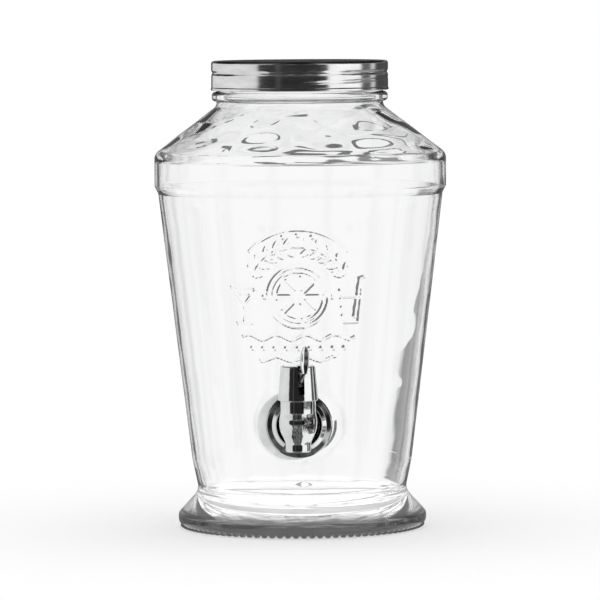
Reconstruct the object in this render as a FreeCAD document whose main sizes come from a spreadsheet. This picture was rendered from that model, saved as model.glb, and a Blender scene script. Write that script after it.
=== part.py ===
"""A glass drinks dispenser: jar, screw lid and lever tap, as a parametric FreeCAD document.

Millimetres. +Z is up, the origin is on the jar's axis at the plane it stands on, and the
tap points to -Y. Every sub-part is a body whose sketches and features take their sizes
from the spreadsheet "Sizes", so a changed cell moves what fits to it as well.
"""

import FreeCAD, Part
import math
import os
import Sketcher
from FreeCAD import Vector

doc = FreeCAD.newDocument("DrinksDispenser")
sheet = doc.addObject("Spreadsheet::Sheet", "Sizes")
row_count = 0


def size(alias, value):
    """One named size on the next row of the sheet: its word in A, its number in B."""
    global row_count
    row_count += 1
    sheet.set(f"A{row_count}", alias)
    sheet.set(f"B{row_count}", str(value))
    sheet.setAlias(f"B{row_count}", alias)


# How far every cut runs past the surface that it opens
size("cut_overrun", 3)

# Jar: each stretch of the outside has its own height, and the radii step from the cup's
size("cup_foot_radius", 74.6)
size("cup_top_radius", 96.4)
size("cup_height", 180.3)
size("cup_foot_round", 45)
size("foot_spread", 9.7)
size("foot_band_height", 9.9)
size("foot_edge_round", 5.5)
size("foot_shoulder_round", 4)
size("foot_rise", 15.4)
size("waist_pinch", 4.4)
size("waist_rise", 21.2)
size("waist_round", 9)
size("band_step", 2.5)
size("band_ramp", 4.4)
size("band_height", 22.9)
size("band_round", 2.4)
size("shoulder_rise", 32.3)
size("shoulder_round", 6.8)
size("neck_radius", 56.5)
size("neck_stub", 3.1)
size("neck_root_round", 5)
size("bead_step", 3.2)
size("bead_height", 6.5)
size("bead_round", 2.6)
size("finish_height", 19.3)
size("rim_round", 1.6)

# Jar: the glass between outside and hollow, and the recess under the base
size("glass_wall", 4)
size("neck_wall", 4.4)
size("waist_wall", 3.6)
size("floor_thickness", 12.5)
size("floor_dome", 2.5)
size("floor_round", 12)
size("shoulder_inside_drop", 2.4)
size("bearing_width", 8.8)
size("push_up_depth", 3)
size("push_up_dome", 1.5)

# Boss for the tap on the front of the jar
size("tap_height", 79)
size("boss_stand", 1.97)
size("boss_thickness", 9)
size("boss_margin", 4)
size("boss_edge_round", 1.4)
size("inner_boss_margin", 1.2)

# Lid
size("thread_room", 2.9)
size("lid_sheet", 0.6)
size("lid_foot_gap", 1)
size("lid_edge_round", 2)
size("lid_hem", 1.8)
size("lid_hem_round", 0.72)
size("lid_hem_proud", 0.25)
size("lid_hem_slope", 0.5)
size("lid_notch_depth", 0.8)
size("lid_notch_drop", 8)
size("lid_notch_half_width", 1.6)
size("liner_thickness", 1)
size("liner_overlap", 6.5)
size("liner_side_gap", 1.6)

# Tap: what is clamped along the shank
size("shank_radius", 8.3)
size("shank_wall", 2.8)
size("shank_clearance", 0.3)
size("hole_clearance", 0.7)
size("flange_radius", 22)
size("flange_rim_height", 4.6)
size("flange_floor", 1.8)
size("flange_bowl_depth", 6.75)
size("flange_crest_width", 1.8)
size("flange_rim_curve", 8.74)
size("flange_edge_height", 1.1)
size("gasket_margin", 3)
size("gasket_shift", 2.5)
size("gasket_lift", 1.3)
size("gasket_thickness", 2)
size("inner_gasket_width", 7.5)
size("inner_washer_inset", 0.8)
size("inner_washer_thickness", 1.2)
size("nut_flat_width", 4.2)
size("nut_height", 8)
size("nut_chamfer", 1.6)
size("nut_chamfer_width", 3.2)
size("nut_thread_clearance", 0.05)
size("shank_past_nut", 2.5)

# Tap: the elbow and its valve chamber. Heights count from the shank's axis
size("tap_reach", 32)
size("spout_drop", 16)
size("spout_tube_length", 4.4)
size("spout_radius", 8.1)
size("spout_wall", 2.5)
size("spout_lip_round", 0.8)
size("barrel_radius", 11.55)
size("barrel_wall", 1.55)
size("barrel_foot_rise", 9.5)
size("barrel_rise", 16.4)
size("ball_bulge", 0.7)
size("ball_lower_curve", 19.4)
size("ball_upper_curve", 60)
size("collar_step", 1.2)
size("seat_drop", 6.5)
size("seat_lip_height", 0.8)
size("seat_lip_width", 1.2)
size("port_radius", 4.6)
size("port_length", 2.3)
size("chamber_rise", 9.2)
size("spigot_wall", 1.9)
size("thread_clearance", 0.1)

# Tap: bonnet
size("bonnet_turn", 12)
size("bonnet_overhang", 1.65)
size("bonnet_taper", 1.8)
size("bonnet_height", 23)
size("bonnet_wall", 1.9)
size("bonnet_foot_round", 0.5)
size("bonnet_top_round", 0.9)
size("deck_thickness", 4.2)
size("slot_width", 4)
size("slot_sill", 0.4)
size("cap_thickness", 1.6)
size("cap_step", 0.7)
size("cap_play", 0.1)
size("seal_thickness", 1)
size("gland_depth", 2)
size("gland_width", 2.2)
size("gland_washer_thickness", 1)

# Tap: stem, plug and spring
size("stem_radius", 2.5)
size("slide_clearance", 0.06)
size("loose_clearance", 0.3)
size("stem_collar_step", 1.5)
size("stem_neck_inset", 0.7)
size("stem_collar_thickness", 1.6)
size("stem_top_thickness", 2)
size("plug_clearance", 1.4)
size("plug_brim", 3)
size("plug_neck_wall", 1.7)
size("plug_height", 6.5)
size("plug_edge_round", 1)
size("plug_socket_depth", 4.5)
size("spring_washer_clearance", 1.6)
size("spring_washer_thickness", 1)
size("spring_share", 0.4)
size("spring_wire_radius", 0.5)
size("spring_turns", 6)

# Tap: lever. Its fork turns about the pin and lifts the stem between two collars
size("pin_offset", 2.7)
size("pin_radius", 1.3)
size("pin_clearance", 0.06)
size("pin_end_inset", 1.5)
size("lever_travel", 35)
size("tine_radius", 2)
size("tine_clearance", 0.12)
size("tine_thickness", 2.1)
size("arm_half_thickness", 0.85)
size("fork_root_clearance", 0.75)
size("hub_wall", 0.85)
size("lever_play", 0.4)
size("blade_half_width", 3.2)
size("blade_foot_drop", 4.8)
size("blade_widest_rise", 5.1)
size("blade_tip_rise", 13.6)
size("blade_lean", 3.2)
size("blade_gap", 0.9)
size("blade_thickness", 2.6)
size("blade_thinning", 1.1)
size("blade_ridge_height", 0.9)
size("blade_back_share", 0.72)
size("stalk_depth", 5.5)
size("stalk_into_blade", 1.6)
size("stalk_curve", 26)
size("stalk_hub_reach", 1.6)
size("stalk_hub_rise", 1.3)

doc.recompute()

# Heights of the jar's outside, from the foot up
FOOT_RADIUS = "(Sizes.cup_foot_radius + Sizes.foot_spread)"
WAIST_RADIUS = "(Sizes.cup_foot_radius - Sizes.waist_pinch)"
WAIST_HEIGHT = "(Sizes.foot_band_height + Sizes.foot_rise)"
CUP_FOOT = f"({WAIST_HEIGHT} + Sizes.waist_rise)"
CUP_TOP = f"({CUP_FOOT} + Sizes.cup_height)"
BAND_FOOT = f"({CUP_TOP} + Sizes.band_ramp)"
BAND_RADIUS = "(Sizes.cup_top_radius + Sizes.band_step)"
SHOULDER = f"({BAND_FOOT} + Sizes.band_height)"
NECK_ROOT = f"({SHOULDER} + Sizes.shoulder_rise)"
BEAD_FOOT = f"({NECK_ROOT} + Sizes.neck_stub)"
BEAD_TOP = f"({BEAD_FOOT} + Sizes.bead_height)"
BEAD_RADIUS = "(Sizes.neck_radius + Sizes.bead_step)"
RIM = f"({BEAD_TOP} + Sizes.finish_height)"
CUP_SLOPE = "((Sizes.cup_top_radius - Sizes.cup_foot_radius) / Sizes.cup_height)"

# Lid
LID_INSIDE = "(Sizes.neck_radius + Sizes.thread_room)"
LID_RADIUS = f"({LID_INSIDE} + Sizes.lid_sheet)"
LID_FOOT = f"({BEAD_TOP} + Sizes.lid_foot_gap)"
LID_UNDERSIDE = f"({RIM} + Sizes.liner_thickness)"
LID_TOP = f"({LID_UNDERSIDE} + Sizes.lid_sheet)"

# The planes across the shank, as distances from the jar's axis, from the front inwards
WALL_AT_TAP = f"(Sizes.cup_foot_radius + {CUP_SLOPE} * (Sizes.tap_height - {CUP_FOOT}))"
BOSS_FACE = f"({WALL_AT_TAP} + Sizes.boss_stand)"
GASKET_FACE = f"({BOSS_FACE} + Sizes.gasket_thickness)"
FLANGE_FACE = f"({GASKET_FACE} + Sizes.flange_floor)"
TAP_AXIS = f"({BOSS_FACE} + Sizes.tap_reach)"
INNER_FACE = f"({BOSS_FACE} - Sizes.boss_thickness)"
INNER_GASKET_FACE = f"({INNER_FACE} - Sizes.gasket_thickness)"
INNER_WASHER_FACE = f"({INNER_GASKET_FACE} - Sizes.inner_washer_thickness)"
SHANK_END = f"({INNER_WASHER_FACE} - Sizes.nut_height - Sizes.shank_past_nut)"

# Radii round the shank
SHANK_BORE = "(Sizes.shank_radius + Sizes.shank_clearance)"
HOLE_RADIUS = "(Sizes.shank_radius + Sizes.hole_clearance)"
OUTER_GASKET_RADIUS = "(Sizes.flange_radius + Sizes.gasket_margin)"
BOSS_RADIUS = f"({OUTER_GASKET_RADIUS} + Sizes.boss_margin)"
INNER_GASKET_RADIUS = "(Sizes.shank_radius + Sizes.inner_gasket_width)"
INNER_BOSS_RADIUS = f"({INNER_GASKET_RADIUS} + Sizes.inner_boss_margin)"
INNER_WASHER_RADIUS = f"({INNER_GASKET_RADIUS} - Sizes.inner_washer_inset)"
BOWL_RADIUS = "(Sizes.flange_radius - Sizes.flange_bowl_depth)"
NUT_FLAT = "(Sizes.shank_radius + Sizes.nut_flat_width)"

# Radii round the valve's axis
BALL_RADIUS = "(Sizes.barrel_radius + Sizes.ball_bulge)"
SPIGOT_BORE = "(Sizes.barrel_radius - Sizes.barrel_wall)"
SPIGOT_RADIUS = f"({SPIGOT_BORE} - Sizes.thread_clearance)"
CHAMBER_RADIUS = f"({SPIGOT_RADIUS} - Sizes.spigot_wall)"
STEM_BORE = "(Sizes.stem_radius + Sizes.slide_clearance)"
STEM_COLLAR = "(Sizes.stem_radius + Sizes.stem_collar_step)"
STEM_NECK = "(Sizes.stem_radius - Sizes.stem_neck_inset)"
GLAND_RADIUS = "(Sizes.stem_radius + Sizes.gland_width)"
COIL = f"(Sizes.stem_radius + ({CHAMBER_RADIUS} - Sizes.stem_radius) * Sizes.spring_share)"

# Heights on the valve's axis, counted from the shank's axis
SEAT = "(-Sizes.seat_drop)"
PLUG_TOP = f"({SEAT} + Sizes.plug_height)"
SPRING_FOOT = f"({PLUG_TOP} + Sizes.spring_washer_thickness)"
DECK_UNDERSIDE = "Sizes.barrel_rise"
SPRING_TOP = f"({DECK_UNDERSIDE} - Sizes.gland_washer_thickness)"
DECK_TOP = f"({DECK_UNDERSIDE} + Sizes.deck_thickness)"
BONNET_TOP = f"({DECK_UNDERSIDE} + Sizes.bonnet_height)"
SPIGOT_FOOT = "(Sizes.chamber_rise + Sizes.seal_thickness)"
CAP_FOOT = f"({BONNET_TOP} - Sizes.cap_thickness)"
SOCKET_FLOOR = f"({PLUG_TOP} - Sizes.plug_socket_depth)"
NECK_HALF = "(Sizes.tine_radius + Sizes.tine_clearance)"
STEM_COLLAR_FOOT = f"({DECK_TOP} + Sizes.loose_clearance)"
NECK_FOOT = f"({STEM_COLLAR_FOOT} + Sizes.stem_collar_thickness)"
NECK_TOP = f"({NECK_FOOT} + {NECK_HALF} * 2)"

# The lever turns as far above the level of its pin as it starts below it
TINE_HEIGHT = f"({NECK_FOOT} + {NECK_HALF})"
PIN_FORWARD = f"({STEM_COLLAR} + Sizes.pin_offset)"
PIN_HEIGHT = f"({TINE_HEIGHT} + {PIN_FORWARD} * tan(Sizes.lever_travel / 2 * 1 deg))"
PIN_BORE = "(Sizes.pin_radius + Sizes.pin_clearance)"
HUB_RADIUS = "(Sizes.pin_radius + Sizes.hub_wall)"
FORK_INNER = f"({STEM_NECK} + Sizes.loose_clearance)"
FORK_WIDTH = f"(({FORK_INNER} + Sizes.tine_thickness) * 2)"
LEVER_PLATE = "(Sizes.slot_width - Sizes.lever_play)"

# The bonnet stands over the barrel's edge, and leaves room inside for the fork's corners
FORK_REACH = f"sqrt(({PIN_FORWARD} + {HUB_RADIUS}) ^ 2 + ({FORK_WIDTH} / 2) ^ 2)"
BONNET_SLOPE = "(Sizes.bonnet_taper / Sizes.bonnet_height)"
ROOM_FOR_FORK = (f"{FORK_REACH} + Sizes.loose_clearance + Sizes.bonnet_wall"
                 f" + {BONNET_SLOPE} * ({PIN_HEIGHT} + {HUB_RADIUS} - {DECK_UNDERSIDE})")
BONNET_FOOT_RADIUS = f"max(Sizes.barrel_radius + Sizes.bonnet_overhang; {ROOM_FOR_FORK})"
BONNET_TOP_RADIUS = f"({BONNET_FOOT_RADIUS} - Sizes.bonnet_taper)"

BLADE_FOOT = f"({BONNET_TOP} - Sizes.blade_foot_drop)"
BLADE_WIDEST = f"({BONNET_TOP} + Sizes.blade_widest_rise)"
BLADE_TIP = f"({BONNET_TOP} + Sizes.blade_tip_rise)"


def number(expression):
    """The present value of an expression of the sheet's names, as a plain number."""
    value = sheet.evalExpression(expression)
    return float(getattr(value, "Value", value))


# ---------------------------------------------------------------- sketching and features


def new_body(label):
    """An empty body whose label names the sub-part."""
    body = doc.addObject("PartDesign::Body", label)
    body.Label = label
    return body


def place(body, along_y="0", height="0", turn="0"):
    """Puts a body's own frame on the tap's axes: -along_y in Y, height in Z, turned about Z."""
    body.setExpression("Placement.Base.y", f"-({along_y})")
    body.setExpression("Placement.Base.z", height)
    body.setExpression("Placement.Rotation.Axis.z", "1")
    body.setExpression("Placement.Rotation.Angle", turn)


def origin_plane(body, role):
    """One of the body's own origin planes: XY_Plane, XZ_Plane or YZ_Plane."""
    return next(item for item in body.Origin.OriginFeatures if item.Role == role)


def new_sketch(body, name, role, offset=None):
    """A sketch on one of the body's origin planes, moved along its normal by an expression."""
    sketch = body.newObject("Sketcher::SketchObject", name)
    sketch.AttachmentSupport = (origin_plane(body, role), [""])
    sketch.MapMode = "FlatFace"
    if offset:
        sketch.setExpression("AttachmentOffset.Base.z", offset)
    return sketch


def corner(across, up, rounding=None):
    """A corner of an outline by its two coordinates, rounded where a radius is given."""
    return {"at": (across, up), "rounding": rounding}


def bow(across, up, radius, side):
    """A corner reached by an arc that turns to the left or the right on its way."""
    return {"at": (across, up), "bow": radius, "side": side}


def pin_down(sketch, element, point, across, up):
    """Fixes a point of the sketch by its two coordinates, both as expressions."""
    for kind, expression in (("DistanceX", across), ("DistanceY", up)):
        value = number(expression)
        index = sketch.addConstraint(Sketcher.Constraint(kind, -1, 1, element, point, value))
        sketch.setExpression(f"Constraints[{index}]", expression)


def fix_radius(sketch, element, expression):
    """Fixes the radius of an arc or a circle by an expression."""
    index = sketch.addConstraint(Sketcher.Constraint("Radius", element, number(expression)))
    sketch.setExpression(f"Constraints[{index}]", expression)


def tangent_reach(before, at, after, radius):
    """How far from a corner a rounding of this radius starts and ends."""
    turn = (before - at).getAngle(after - at)
    return radius / math.tan(turn / 2)


def arc_between(start, end, radius, side):
    """The centre and the two angles of the short arc from start to end."""
    chord = end - start
    half = chord.Length / 2
    rise = math.sqrt(max(radius * radius - half * half, 0))
    left = Vector(-chord.y, chord.x, 0).normalize()
    centre = (start + end) * 0.5 + left * (rise if side == "left" else -rise)
    first, last = (start, end) if side == "left" else (end, start)
    angles = [math.atan2(p.y - centre.y, p.x - centre.x) for p in (first, last)]
    if angles[1] < angles[0]:
        angles[1] += 2 * math.pi
    return centre, angles


def draw_arc(sketch, start, end, radius, side):
    """Adds the arc and returns it with the numbers of its start and end points."""
    centre, angles = arc_between(start, end, radius, side)
    circle = Part.Circle(centre, Vector(0, 0, 1), radius)
    element = sketch.addGeometry(Part.ArcOfCircle(circle, *angles), False)
    return (element, 1, 2) if side == "left" else (element, 2, 1)


def outline(sketch, corners):
    """A closed outline through the corners, with its arcs and roundings fully constrained.

    A rounded corner keeps its true corner as a point of its own. The two lines beside it
    point at that corner and end where the arc touches them.
    """
    count = len(corners)
    places = [Vector(number(c["at"][0]), number(c["at"][1]), 0) for c in corners]
    leave = list(places)
    arrive = list(places)
    for i, item in enumerate(corners):
        if item.get("rounding"):
            before, at, after = places[i - 1], places[i], places[(i + 1) % count]
            reach = tangent_reach(before, at, after, number(item["rounding"]))
            arrive[i] = at + (before - at).normalize() * reach
            leave[i] = at + (after - at).normalize() * reach
    edges = []
    for i, item in enumerate(corners):
        start, end = leave[i - 1], arrive[i]
        if item.get("bow"):
            edges.append(draw_arc(sketch, start, end, number(item["bow"]), item["side"]))
            fix_radius(sketch, edges[-1][0], item["bow"])
        else:
            line = sketch.addGeometry(Part.LineSegment(start, end), False)
            edges.append((line, 1, 2))
    for i, item in enumerate(corners):
        into, out = edges[i], edges[(i + 1) % count]
        if not item.get("rounding"):
            joined = Sketcher.Constraint("Coincident", into[0], into[2], out[0], out[1])
            sketch.addConstraint(joined)
            pin_down(sketch, into[0], into[2], *item["at"])
            continue
        turn = (arrive[i] - places[i]).cross(leave[i] - places[i]).z
        side = "right" if turn > 0 else "left"
        arc = draw_arc(sketch, arrive[i], leave[i], number(item["rounding"]), side)
        point = sketch.addGeometry(Part.Point(places[i]), True)
        pin_down(sketch, point, 1, *item["at"])
        sketch.addConstraint([
            Sketcher.Constraint("PointOnObject", point, 1, into[0]),
            Sketcher.Constraint("PointOnObject", point, 1, out[0]),
            Sketcher.Constraint("Tangent", into[0], into[2], arc[0], arc[1]),
            Sketcher.Constraint("Tangent", out[0], out[1], arc[0], arc[2]),
        ])
        fix_radius(sketch, arc[0], item["rounding"])
    return sketch


def circles(sketch, *rings):
    """Circles in a sketch, each given as across, up and radius expressions."""
    for across, up, radius in rings:
        middle = Vector(number(across), number(up), 0)
        circle = Part.Circle(middle, Vector(0, 0, 1), number(radius))
        element = sketch.addGeometry(circle, False)
        pin_down(sketch, element, 3, across, up)
        fix_radius(sketch, element, radius)
    return sketch


def turned(body, kind, sketch, axis):
    """A Revolution or a Groove of the sketch round its own H_Axis or V_Axis."""
    feature = body.newObject(f"PartDesign::{kind}", f"{sketch.Name}{kind}")
    feature.Profile = sketch
    feature.ReferenceAxis = (sketch, [axis])
    feature.Angle = 360
    return feature


def pushed(body, kind, sketch, length, reverse=False, both_ways=False):
    """A Pad or a Pocket of the sketch, as long as the expression says."""
    feature = body.newObject(f"PartDesign::{kind}", f"{sketch.Name}{kind}")
    feature.Profile = sketch
    feature.setExpression("Length", length)
    feature.Reversed = reverse
    if both_ways:
        feature.SideType = "Symmetric"
    return feature


def turned_body(label, corners, role="XZ_Plane", axis="V_Axis"):
    """A body made by turning one outline: across is the radius, up is along the axis."""
    body = new_body(label)
    turned(body, "Revolution", outline(new_sketch(body, f"{label}_section", role), corners), axis)
    return body


def washer(label, outer, start, end, across="0", up="0"):
    """A flat ring round the shank between two distances from the jar's axis. Its outside may
    lie off the shank's centre."""
    body = new_body(label)
    rings = circles(new_sketch(body, f"{label}_face", "XZ_Plane", start),
                    (across, up, outer), ("0", "0", SHANK_BORE))
    pushed(body, "Pad", rings, f"({end}) - ({start})")
    place(body, "0", "Sizes.tap_height")


def stack_ring(label, inner, outer, foot, top):
    """A flat ring on the valve's axis between two heights."""
    body = new_body(label)
    rings = circles(new_sketch(body, f"{label}_face", "XY_Plane", foot),
                    ("0", "0", outer), ("0", "0", inner))
    pushed(body, "Pad", rings, f"({top}) - ({foot})")
    place(body, TAP_AXIS, "Sizes.tap_height")


# ---------------------------------------------------------------- glass jar

INNER_TOP = f"({SHOULDER} - Sizes.shoulder_inside_drop)"
INNER_CUP_TOP = (f"(Sizes.cup_foot_radius - Sizes.glass_wall"
                 f" + {CUP_SLOPE} * ({INNER_TOP} - {CUP_FOOT}))")
INNER_WAIST = f"({WAIST_RADIUS} - Sizes.waist_wall)"
INNER_NECK = "(Sizes.neck_radius - Sizes.neck_wall)"

jar = new_body("glass_jar")
outside = outline(new_sketch(jar, "jar_outside", "XZ_Plane"), [
    corner("0", "0"),
    corner(FOOT_RADIUS, "0", "Sizes.foot_edge_round"),
    corner(FOOT_RADIUS, "Sizes.foot_band_height", "Sizes.foot_shoulder_round"),
    corner(WAIST_RADIUS, WAIST_HEIGHT, "Sizes.waist_round"),
    corner("Sizes.cup_foot_radius", CUP_FOOT, "Sizes.cup_foot_round"),
    corner("Sizes.cup_top_radius", CUP_TOP, "Sizes.band_round"),
    corner(BAND_RADIUS, BAND_FOOT, "Sizes.band_round"),
    corner(BAND_RADIUS, SHOULDER, "Sizes.shoulder_round"),
    corner("Sizes.neck_radius", NECK_ROOT, "Sizes.neck_root_round"),
    corner("Sizes.neck_radius", BEAD_FOOT),
    corner(BEAD_RADIUS, BEAD_FOOT, "Sizes.bead_round"),
    corner(BEAD_RADIUS, BEAD_TOP, "Sizes.bead_round"),
    corner("Sizes.neck_radius", BEAD_TOP),
    corner("Sizes.neck_radius", RIM, "Sizes.rim_round"),
    corner("0", RIM),
])
turned(jar, "Revolution", outside, "V_Axis")

# The round boss: raised where the wall falls back, cut flat where the wall stands forward
boss = outline(new_sketch(jar, "boss", "XY_Plane", "Sizes.tap_height"), [
    corner("0", f"-{INNER_FACE}"),
    corner("0", f"-{BOSS_FACE}"),
    corner(BOSS_RADIUS, f"-{BOSS_FACE}", "Sizes.boss_edge_round"),
    corner(BOSS_RADIUS, f"-{INNER_FACE}"),
])
turned(jar, "Revolution", boss, "V_Axis")
boss_flat = circles(new_sketch(jar, "boss_flat", "XZ_Plane", BOSS_FACE),
                    ("0", "Sizes.tap_height", BOSS_RADIUS))
pushed(jar, "Pocket", boss_flat, BOSS_RADIUS, reverse=True)

hollow = outline(new_sketch(jar, "jar_hollow", "XZ_Plane"), [
    corner("0", "Sizes.floor_thickness + Sizes.floor_dome"),
    corner(INNER_WAIST, "Sizes.floor_thickness", "Sizes.floor_round"),
    corner(INNER_WAIST, f"{WAIST_HEIGHT} + Sizes.glass_wall", "Sizes.waist_round"),
    corner("Sizes.cup_foot_radius - Sizes.glass_wall", CUP_FOOT),
    corner(INNER_CUP_TOP, INNER_TOP, "Sizes.shoulder_round"),
    corner(INNER_NECK, f"{NECK_ROOT} - Sizes.shoulder_inside_drop", "Sizes.shoulder_round"),
    corner(INNER_NECK, RIM, "Sizes.rim_round"),
    corner("Sizes.neck_radius", f"{RIM} + Sizes.cut_overrun"),
    corner("0", f"{RIM} + Sizes.cut_overrun"),
])
turned(jar, "Groove", hollow, "V_Axis")

BEARING_INNER = f"({FOOT_RADIUS} - Sizes.foot_edge_round - Sizes.bearing_width)"
push_up = outline(new_sketch(jar, "push_up", "XZ_Plane"), [
    corner("0", "-Sizes.cut_overrun"),
    corner(BEARING_INNER, "-Sizes.cut_overrun"),
    corner(BEARING_INNER, "0"),
    corner(f"{BEARING_INNER} - Sizes.push_up_depth", "Sizes.push_up_depth",
           "Sizes.push_up_depth"),
    corner("0", "Sizes.push_up_depth + Sizes.push_up_dome"),
])
turned(jar, "Groove", push_up, "V_Axis")

# Inside, a smaller flat for the inner gasket; then the hole for the shank
inner_boss = circles(new_sketch(jar, "inner_boss", "XZ_Plane", INNER_FACE),
                     ("0", "Sizes.tap_height", INNER_BOSS_RADIUS))
pushed(jar, "Pad", inner_boss, "Sizes.boss_thickness - Sizes.boss_stand")
inner_flat = circles(new_sketch(jar, "inner_flat", "XZ_Plane", INNER_FACE),
                     ("0", "Sizes.tap_height", INNER_BOSS_RADIUS))
pushed(jar, "Pocket", inner_flat, INNER_BOSS_RADIUS)
tap_hole = circles(new_sketch(jar, "tap_hole", "XZ_Plane", BOSS_FACE),
                   ("0", "Sizes.tap_height", HOLE_RADIUS))
pushed(jar, "Pocket", tap_hole, "Sizes.boss_thickness + Sizes.cut_overrun")

# ---------------------------------------------------------------- lid

# The notch is the rolled thread where it crosses the skirt; the hem is the curled foot
NOTCH = f"({LID_TOP} - Sizes.lid_notch_drop)"
NOTCH_ABOVE = f"({NOTCH} + Sizes.lid_notch_half_width)"
NOTCH_BELOW = f"({NOTCH} - Sizes.lid_notch_half_width)"
HEM_TOP = f"({LID_FOOT} + Sizes.lid_hem)"
HEM_INSIDE = f"({LID_INSIDE} - Sizes.lid_hem / 2)"
HEM_OUTSIDE = f"({LID_RADIUS} + Sizes.lid_hem_proud)"
turned_body("lid_shell", [
    corner("0", LID_TOP),
    corner("0", LID_UNDERSIDE),
    corner(LID_INSIDE, LID_UNDERSIDE, "Sizes.lid_edge_round - Sizes.lid_sheet"),
    corner(LID_INSIDE, NOTCH_ABOVE),
    corner(f"{LID_INSIDE} - Sizes.lid_notch_depth", NOTCH),
    corner(LID_INSIDE, NOTCH_BELOW),
    corner(LID_INSIDE, HEM_TOP),
    corner(HEM_INSIDE, HEM_TOP),
    corner(HEM_INSIDE, LID_FOOT, "Sizes.lid_hem_round"),
    corner(HEM_OUTSIDE, LID_FOOT, "Sizes.lid_hem_round"),
    corner(HEM_OUTSIDE, HEM_TOP),
    corner(LID_RADIUS, f"{HEM_TOP} + Sizes.lid_hem_slope"),
    corner(LID_RADIUS, NOTCH_BELOW),
    corner(f"{LID_RADIUS} - Sizes.lid_notch_depth", NOTCH),
    corner(LID_RADIUS, NOTCH_ABOVE),
    corner(LID_RADIUS, LID_TOP, "Sizes.lid_edge_round"),
])
turned_body("lid_liner", [
    corner("Sizes.neck_radius - Sizes.liner_overlap", RIM),
    corner(f"{LID_INSIDE} - Sizes.liner_side_gap", RIM),
    corner(f"{LID_INSIDE} - Sizes.liner_side_gap", LID_UNDERSIDE),
    corner("Sizes.neck_radius - Sizes.liner_overlap", LID_UNDERSIDE),
])

# ---------------------------------------------------------------- tap: clamped on the boss

# The outer gasket is soft, and has crept to one side under the clamp
washer("outer_gasket", OUTER_GASKET_RADIUS, BOSS_FACE, GASKET_FACE,
       "-Sizes.gasket_shift", "Sizes.gasket_lift")
washer("inner_gasket", INNER_GASKET_RADIUS, INNER_GASKET_FACE, INNER_FACE)
washer("inner_washer", INNER_WASHER_RADIUS, INNER_WASHER_FACE, INNER_GASKET_FACE)

# The flange is a shallow bowl with a raised round rim; -Y is its front
flange = turned_body("tap_flange", [
    corner(SHANK_BORE, "0"),
    corner("Sizes.flange_radius", "0"),
    corner("Sizes.flange_radius", "-Sizes.flange_edge_height"),
    bow(f"{BOWL_RADIUS} + Sizes.flange_crest_width", "-Sizes.flange_rim_height",
        "Sizes.flange_rim_curve", "right"),
    corner(BOWL_RADIUS, "-Sizes.flange_rim_height"),
    corner(BOWL_RADIUS, "-Sizes.flange_floor", "Sizes.flange_edge_height"),
    corner(SHANK_BORE, "-Sizes.flange_floor"),
], "XY_Plane")
place(flange, GASKET_FACE, "Sizes.tap_height")

# The nut: a hexagon with chamfered corners, bored for the shank
nut = new_body("shank_nut")
hexagon = new_sketch(nut, "nut_hexagon", "XZ_Plane")
outline(hexagon, [corner(f"{NUT_FLAT} / cos(30 deg) * cos({angle} deg)",
                         f"{NUT_FLAT} / cos(30 deg) * sin({angle} deg)")
                  for angle in range(0, 360, 60)])
circles(hexagon, ("0", "0", "Sizes.shank_radius + Sizes.nut_thread_clearance"))
pushed(nut, "Pad", hexagon, "Sizes.nut_height", reverse=True)
chamfer = outline(new_sketch(nut, "nut_chamfer", "XY_Plane"), [
    corner(NUT_FLAT, "Sizes.nut_height"),
    corner(f"{NUT_FLAT} + Sizes.nut_chamfer_width", "Sizes.nut_height"),
    corner(f"{NUT_FLAT} + Sizes.nut_chamfer_width", "Sizes.nut_height - Sizes.nut_chamfer"),
])
turned(nut, "Groove", chamfer, "V_Axis")
place(nut, INNER_WASHER_FACE, "Sizes.tap_height")

# ---------------------------------------------------------------- tap: elbow

SPOUT_BORE = "(Sizes.spout_radius - Sizes.spout_wall)"
elbow = new_body("tap_body")
shape = outline(new_sketch(elbow, "elbow_outside", "XZ_Plane"), [
    corner("0", "-Sizes.spout_drop"),
    corner("Sizes.spout_radius", "-Sizes.spout_drop", "Sizes.spout_lip_round"),
    corner("Sizes.spout_radius", "Sizes.spout_tube_length - Sizes.spout_drop"),
    bow(BALL_RADIUS, "0", "Sizes.ball_lower_curve", "left"),
    bow("Sizes.barrel_radius", "Sizes.barrel_foot_rise", "Sizes.ball_upper_curve", "left"),
    corner("Sizes.barrel_radius", "Sizes.barrel_rise"),
    corner("0", "Sizes.barrel_rise"),
])
turned(elbow, "Revolution", shape, "V_Axis")
collar = circles(new_sketch(elbow, "elbow_collar", "XZ_Plane"),
                 ("0", "0", "Sizes.shank_radius + Sizes.collar_step"))
pushed(elbow, "Pad", collar, f"{TAP_AXIS} - {FLANGE_FACE}", reverse=True)
shank = circles(new_sketch(elbow, "elbow_shank", "XZ_Plane"), ("0", "0", "Sizes.shank_radius"))
pushed(elbow, "Pad", shank, f"{TAP_AXIS} - {SHANK_END}", reverse=True)
chamber = outline(new_sketch(elbow, "elbow_chamber", "XZ_Plane"), [
    corner("0", "-Sizes.spout_drop - Sizes.cut_overrun"),
    corner(SPOUT_BORE, "-Sizes.spout_drop - Sizes.cut_overrun"),
    corner(SPOUT_BORE, f"{SEAT} - Sizes.port_length"),
    corner("Sizes.port_radius", f"{SEAT} - Sizes.port_length"),
    corner("Sizes.port_radius", SEAT),
    corner("Sizes.port_radius + Sizes.seat_lip_width", SEAT),
    corner("Sizes.port_radius + Sizes.seat_lip_width", f"{SEAT} - Sizes.seat_lip_height"),
    corner(CHAMBER_RADIUS, f"{SEAT} - Sizes.seat_lip_height"),
    corner(CHAMBER_RADIUS, "Sizes.chamber_rise"),
    corner(SPIGOT_BORE, "Sizes.chamber_rise"),
    corner(SPIGOT_BORE, "Sizes.barrel_rise + Sizes.cut_overrun"),
    corner("0", "Sizes.barrel_rise + Sizes.cut_overrun"),
])
turned(elbow, "Groove", chamber, "V_Axis")
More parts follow.
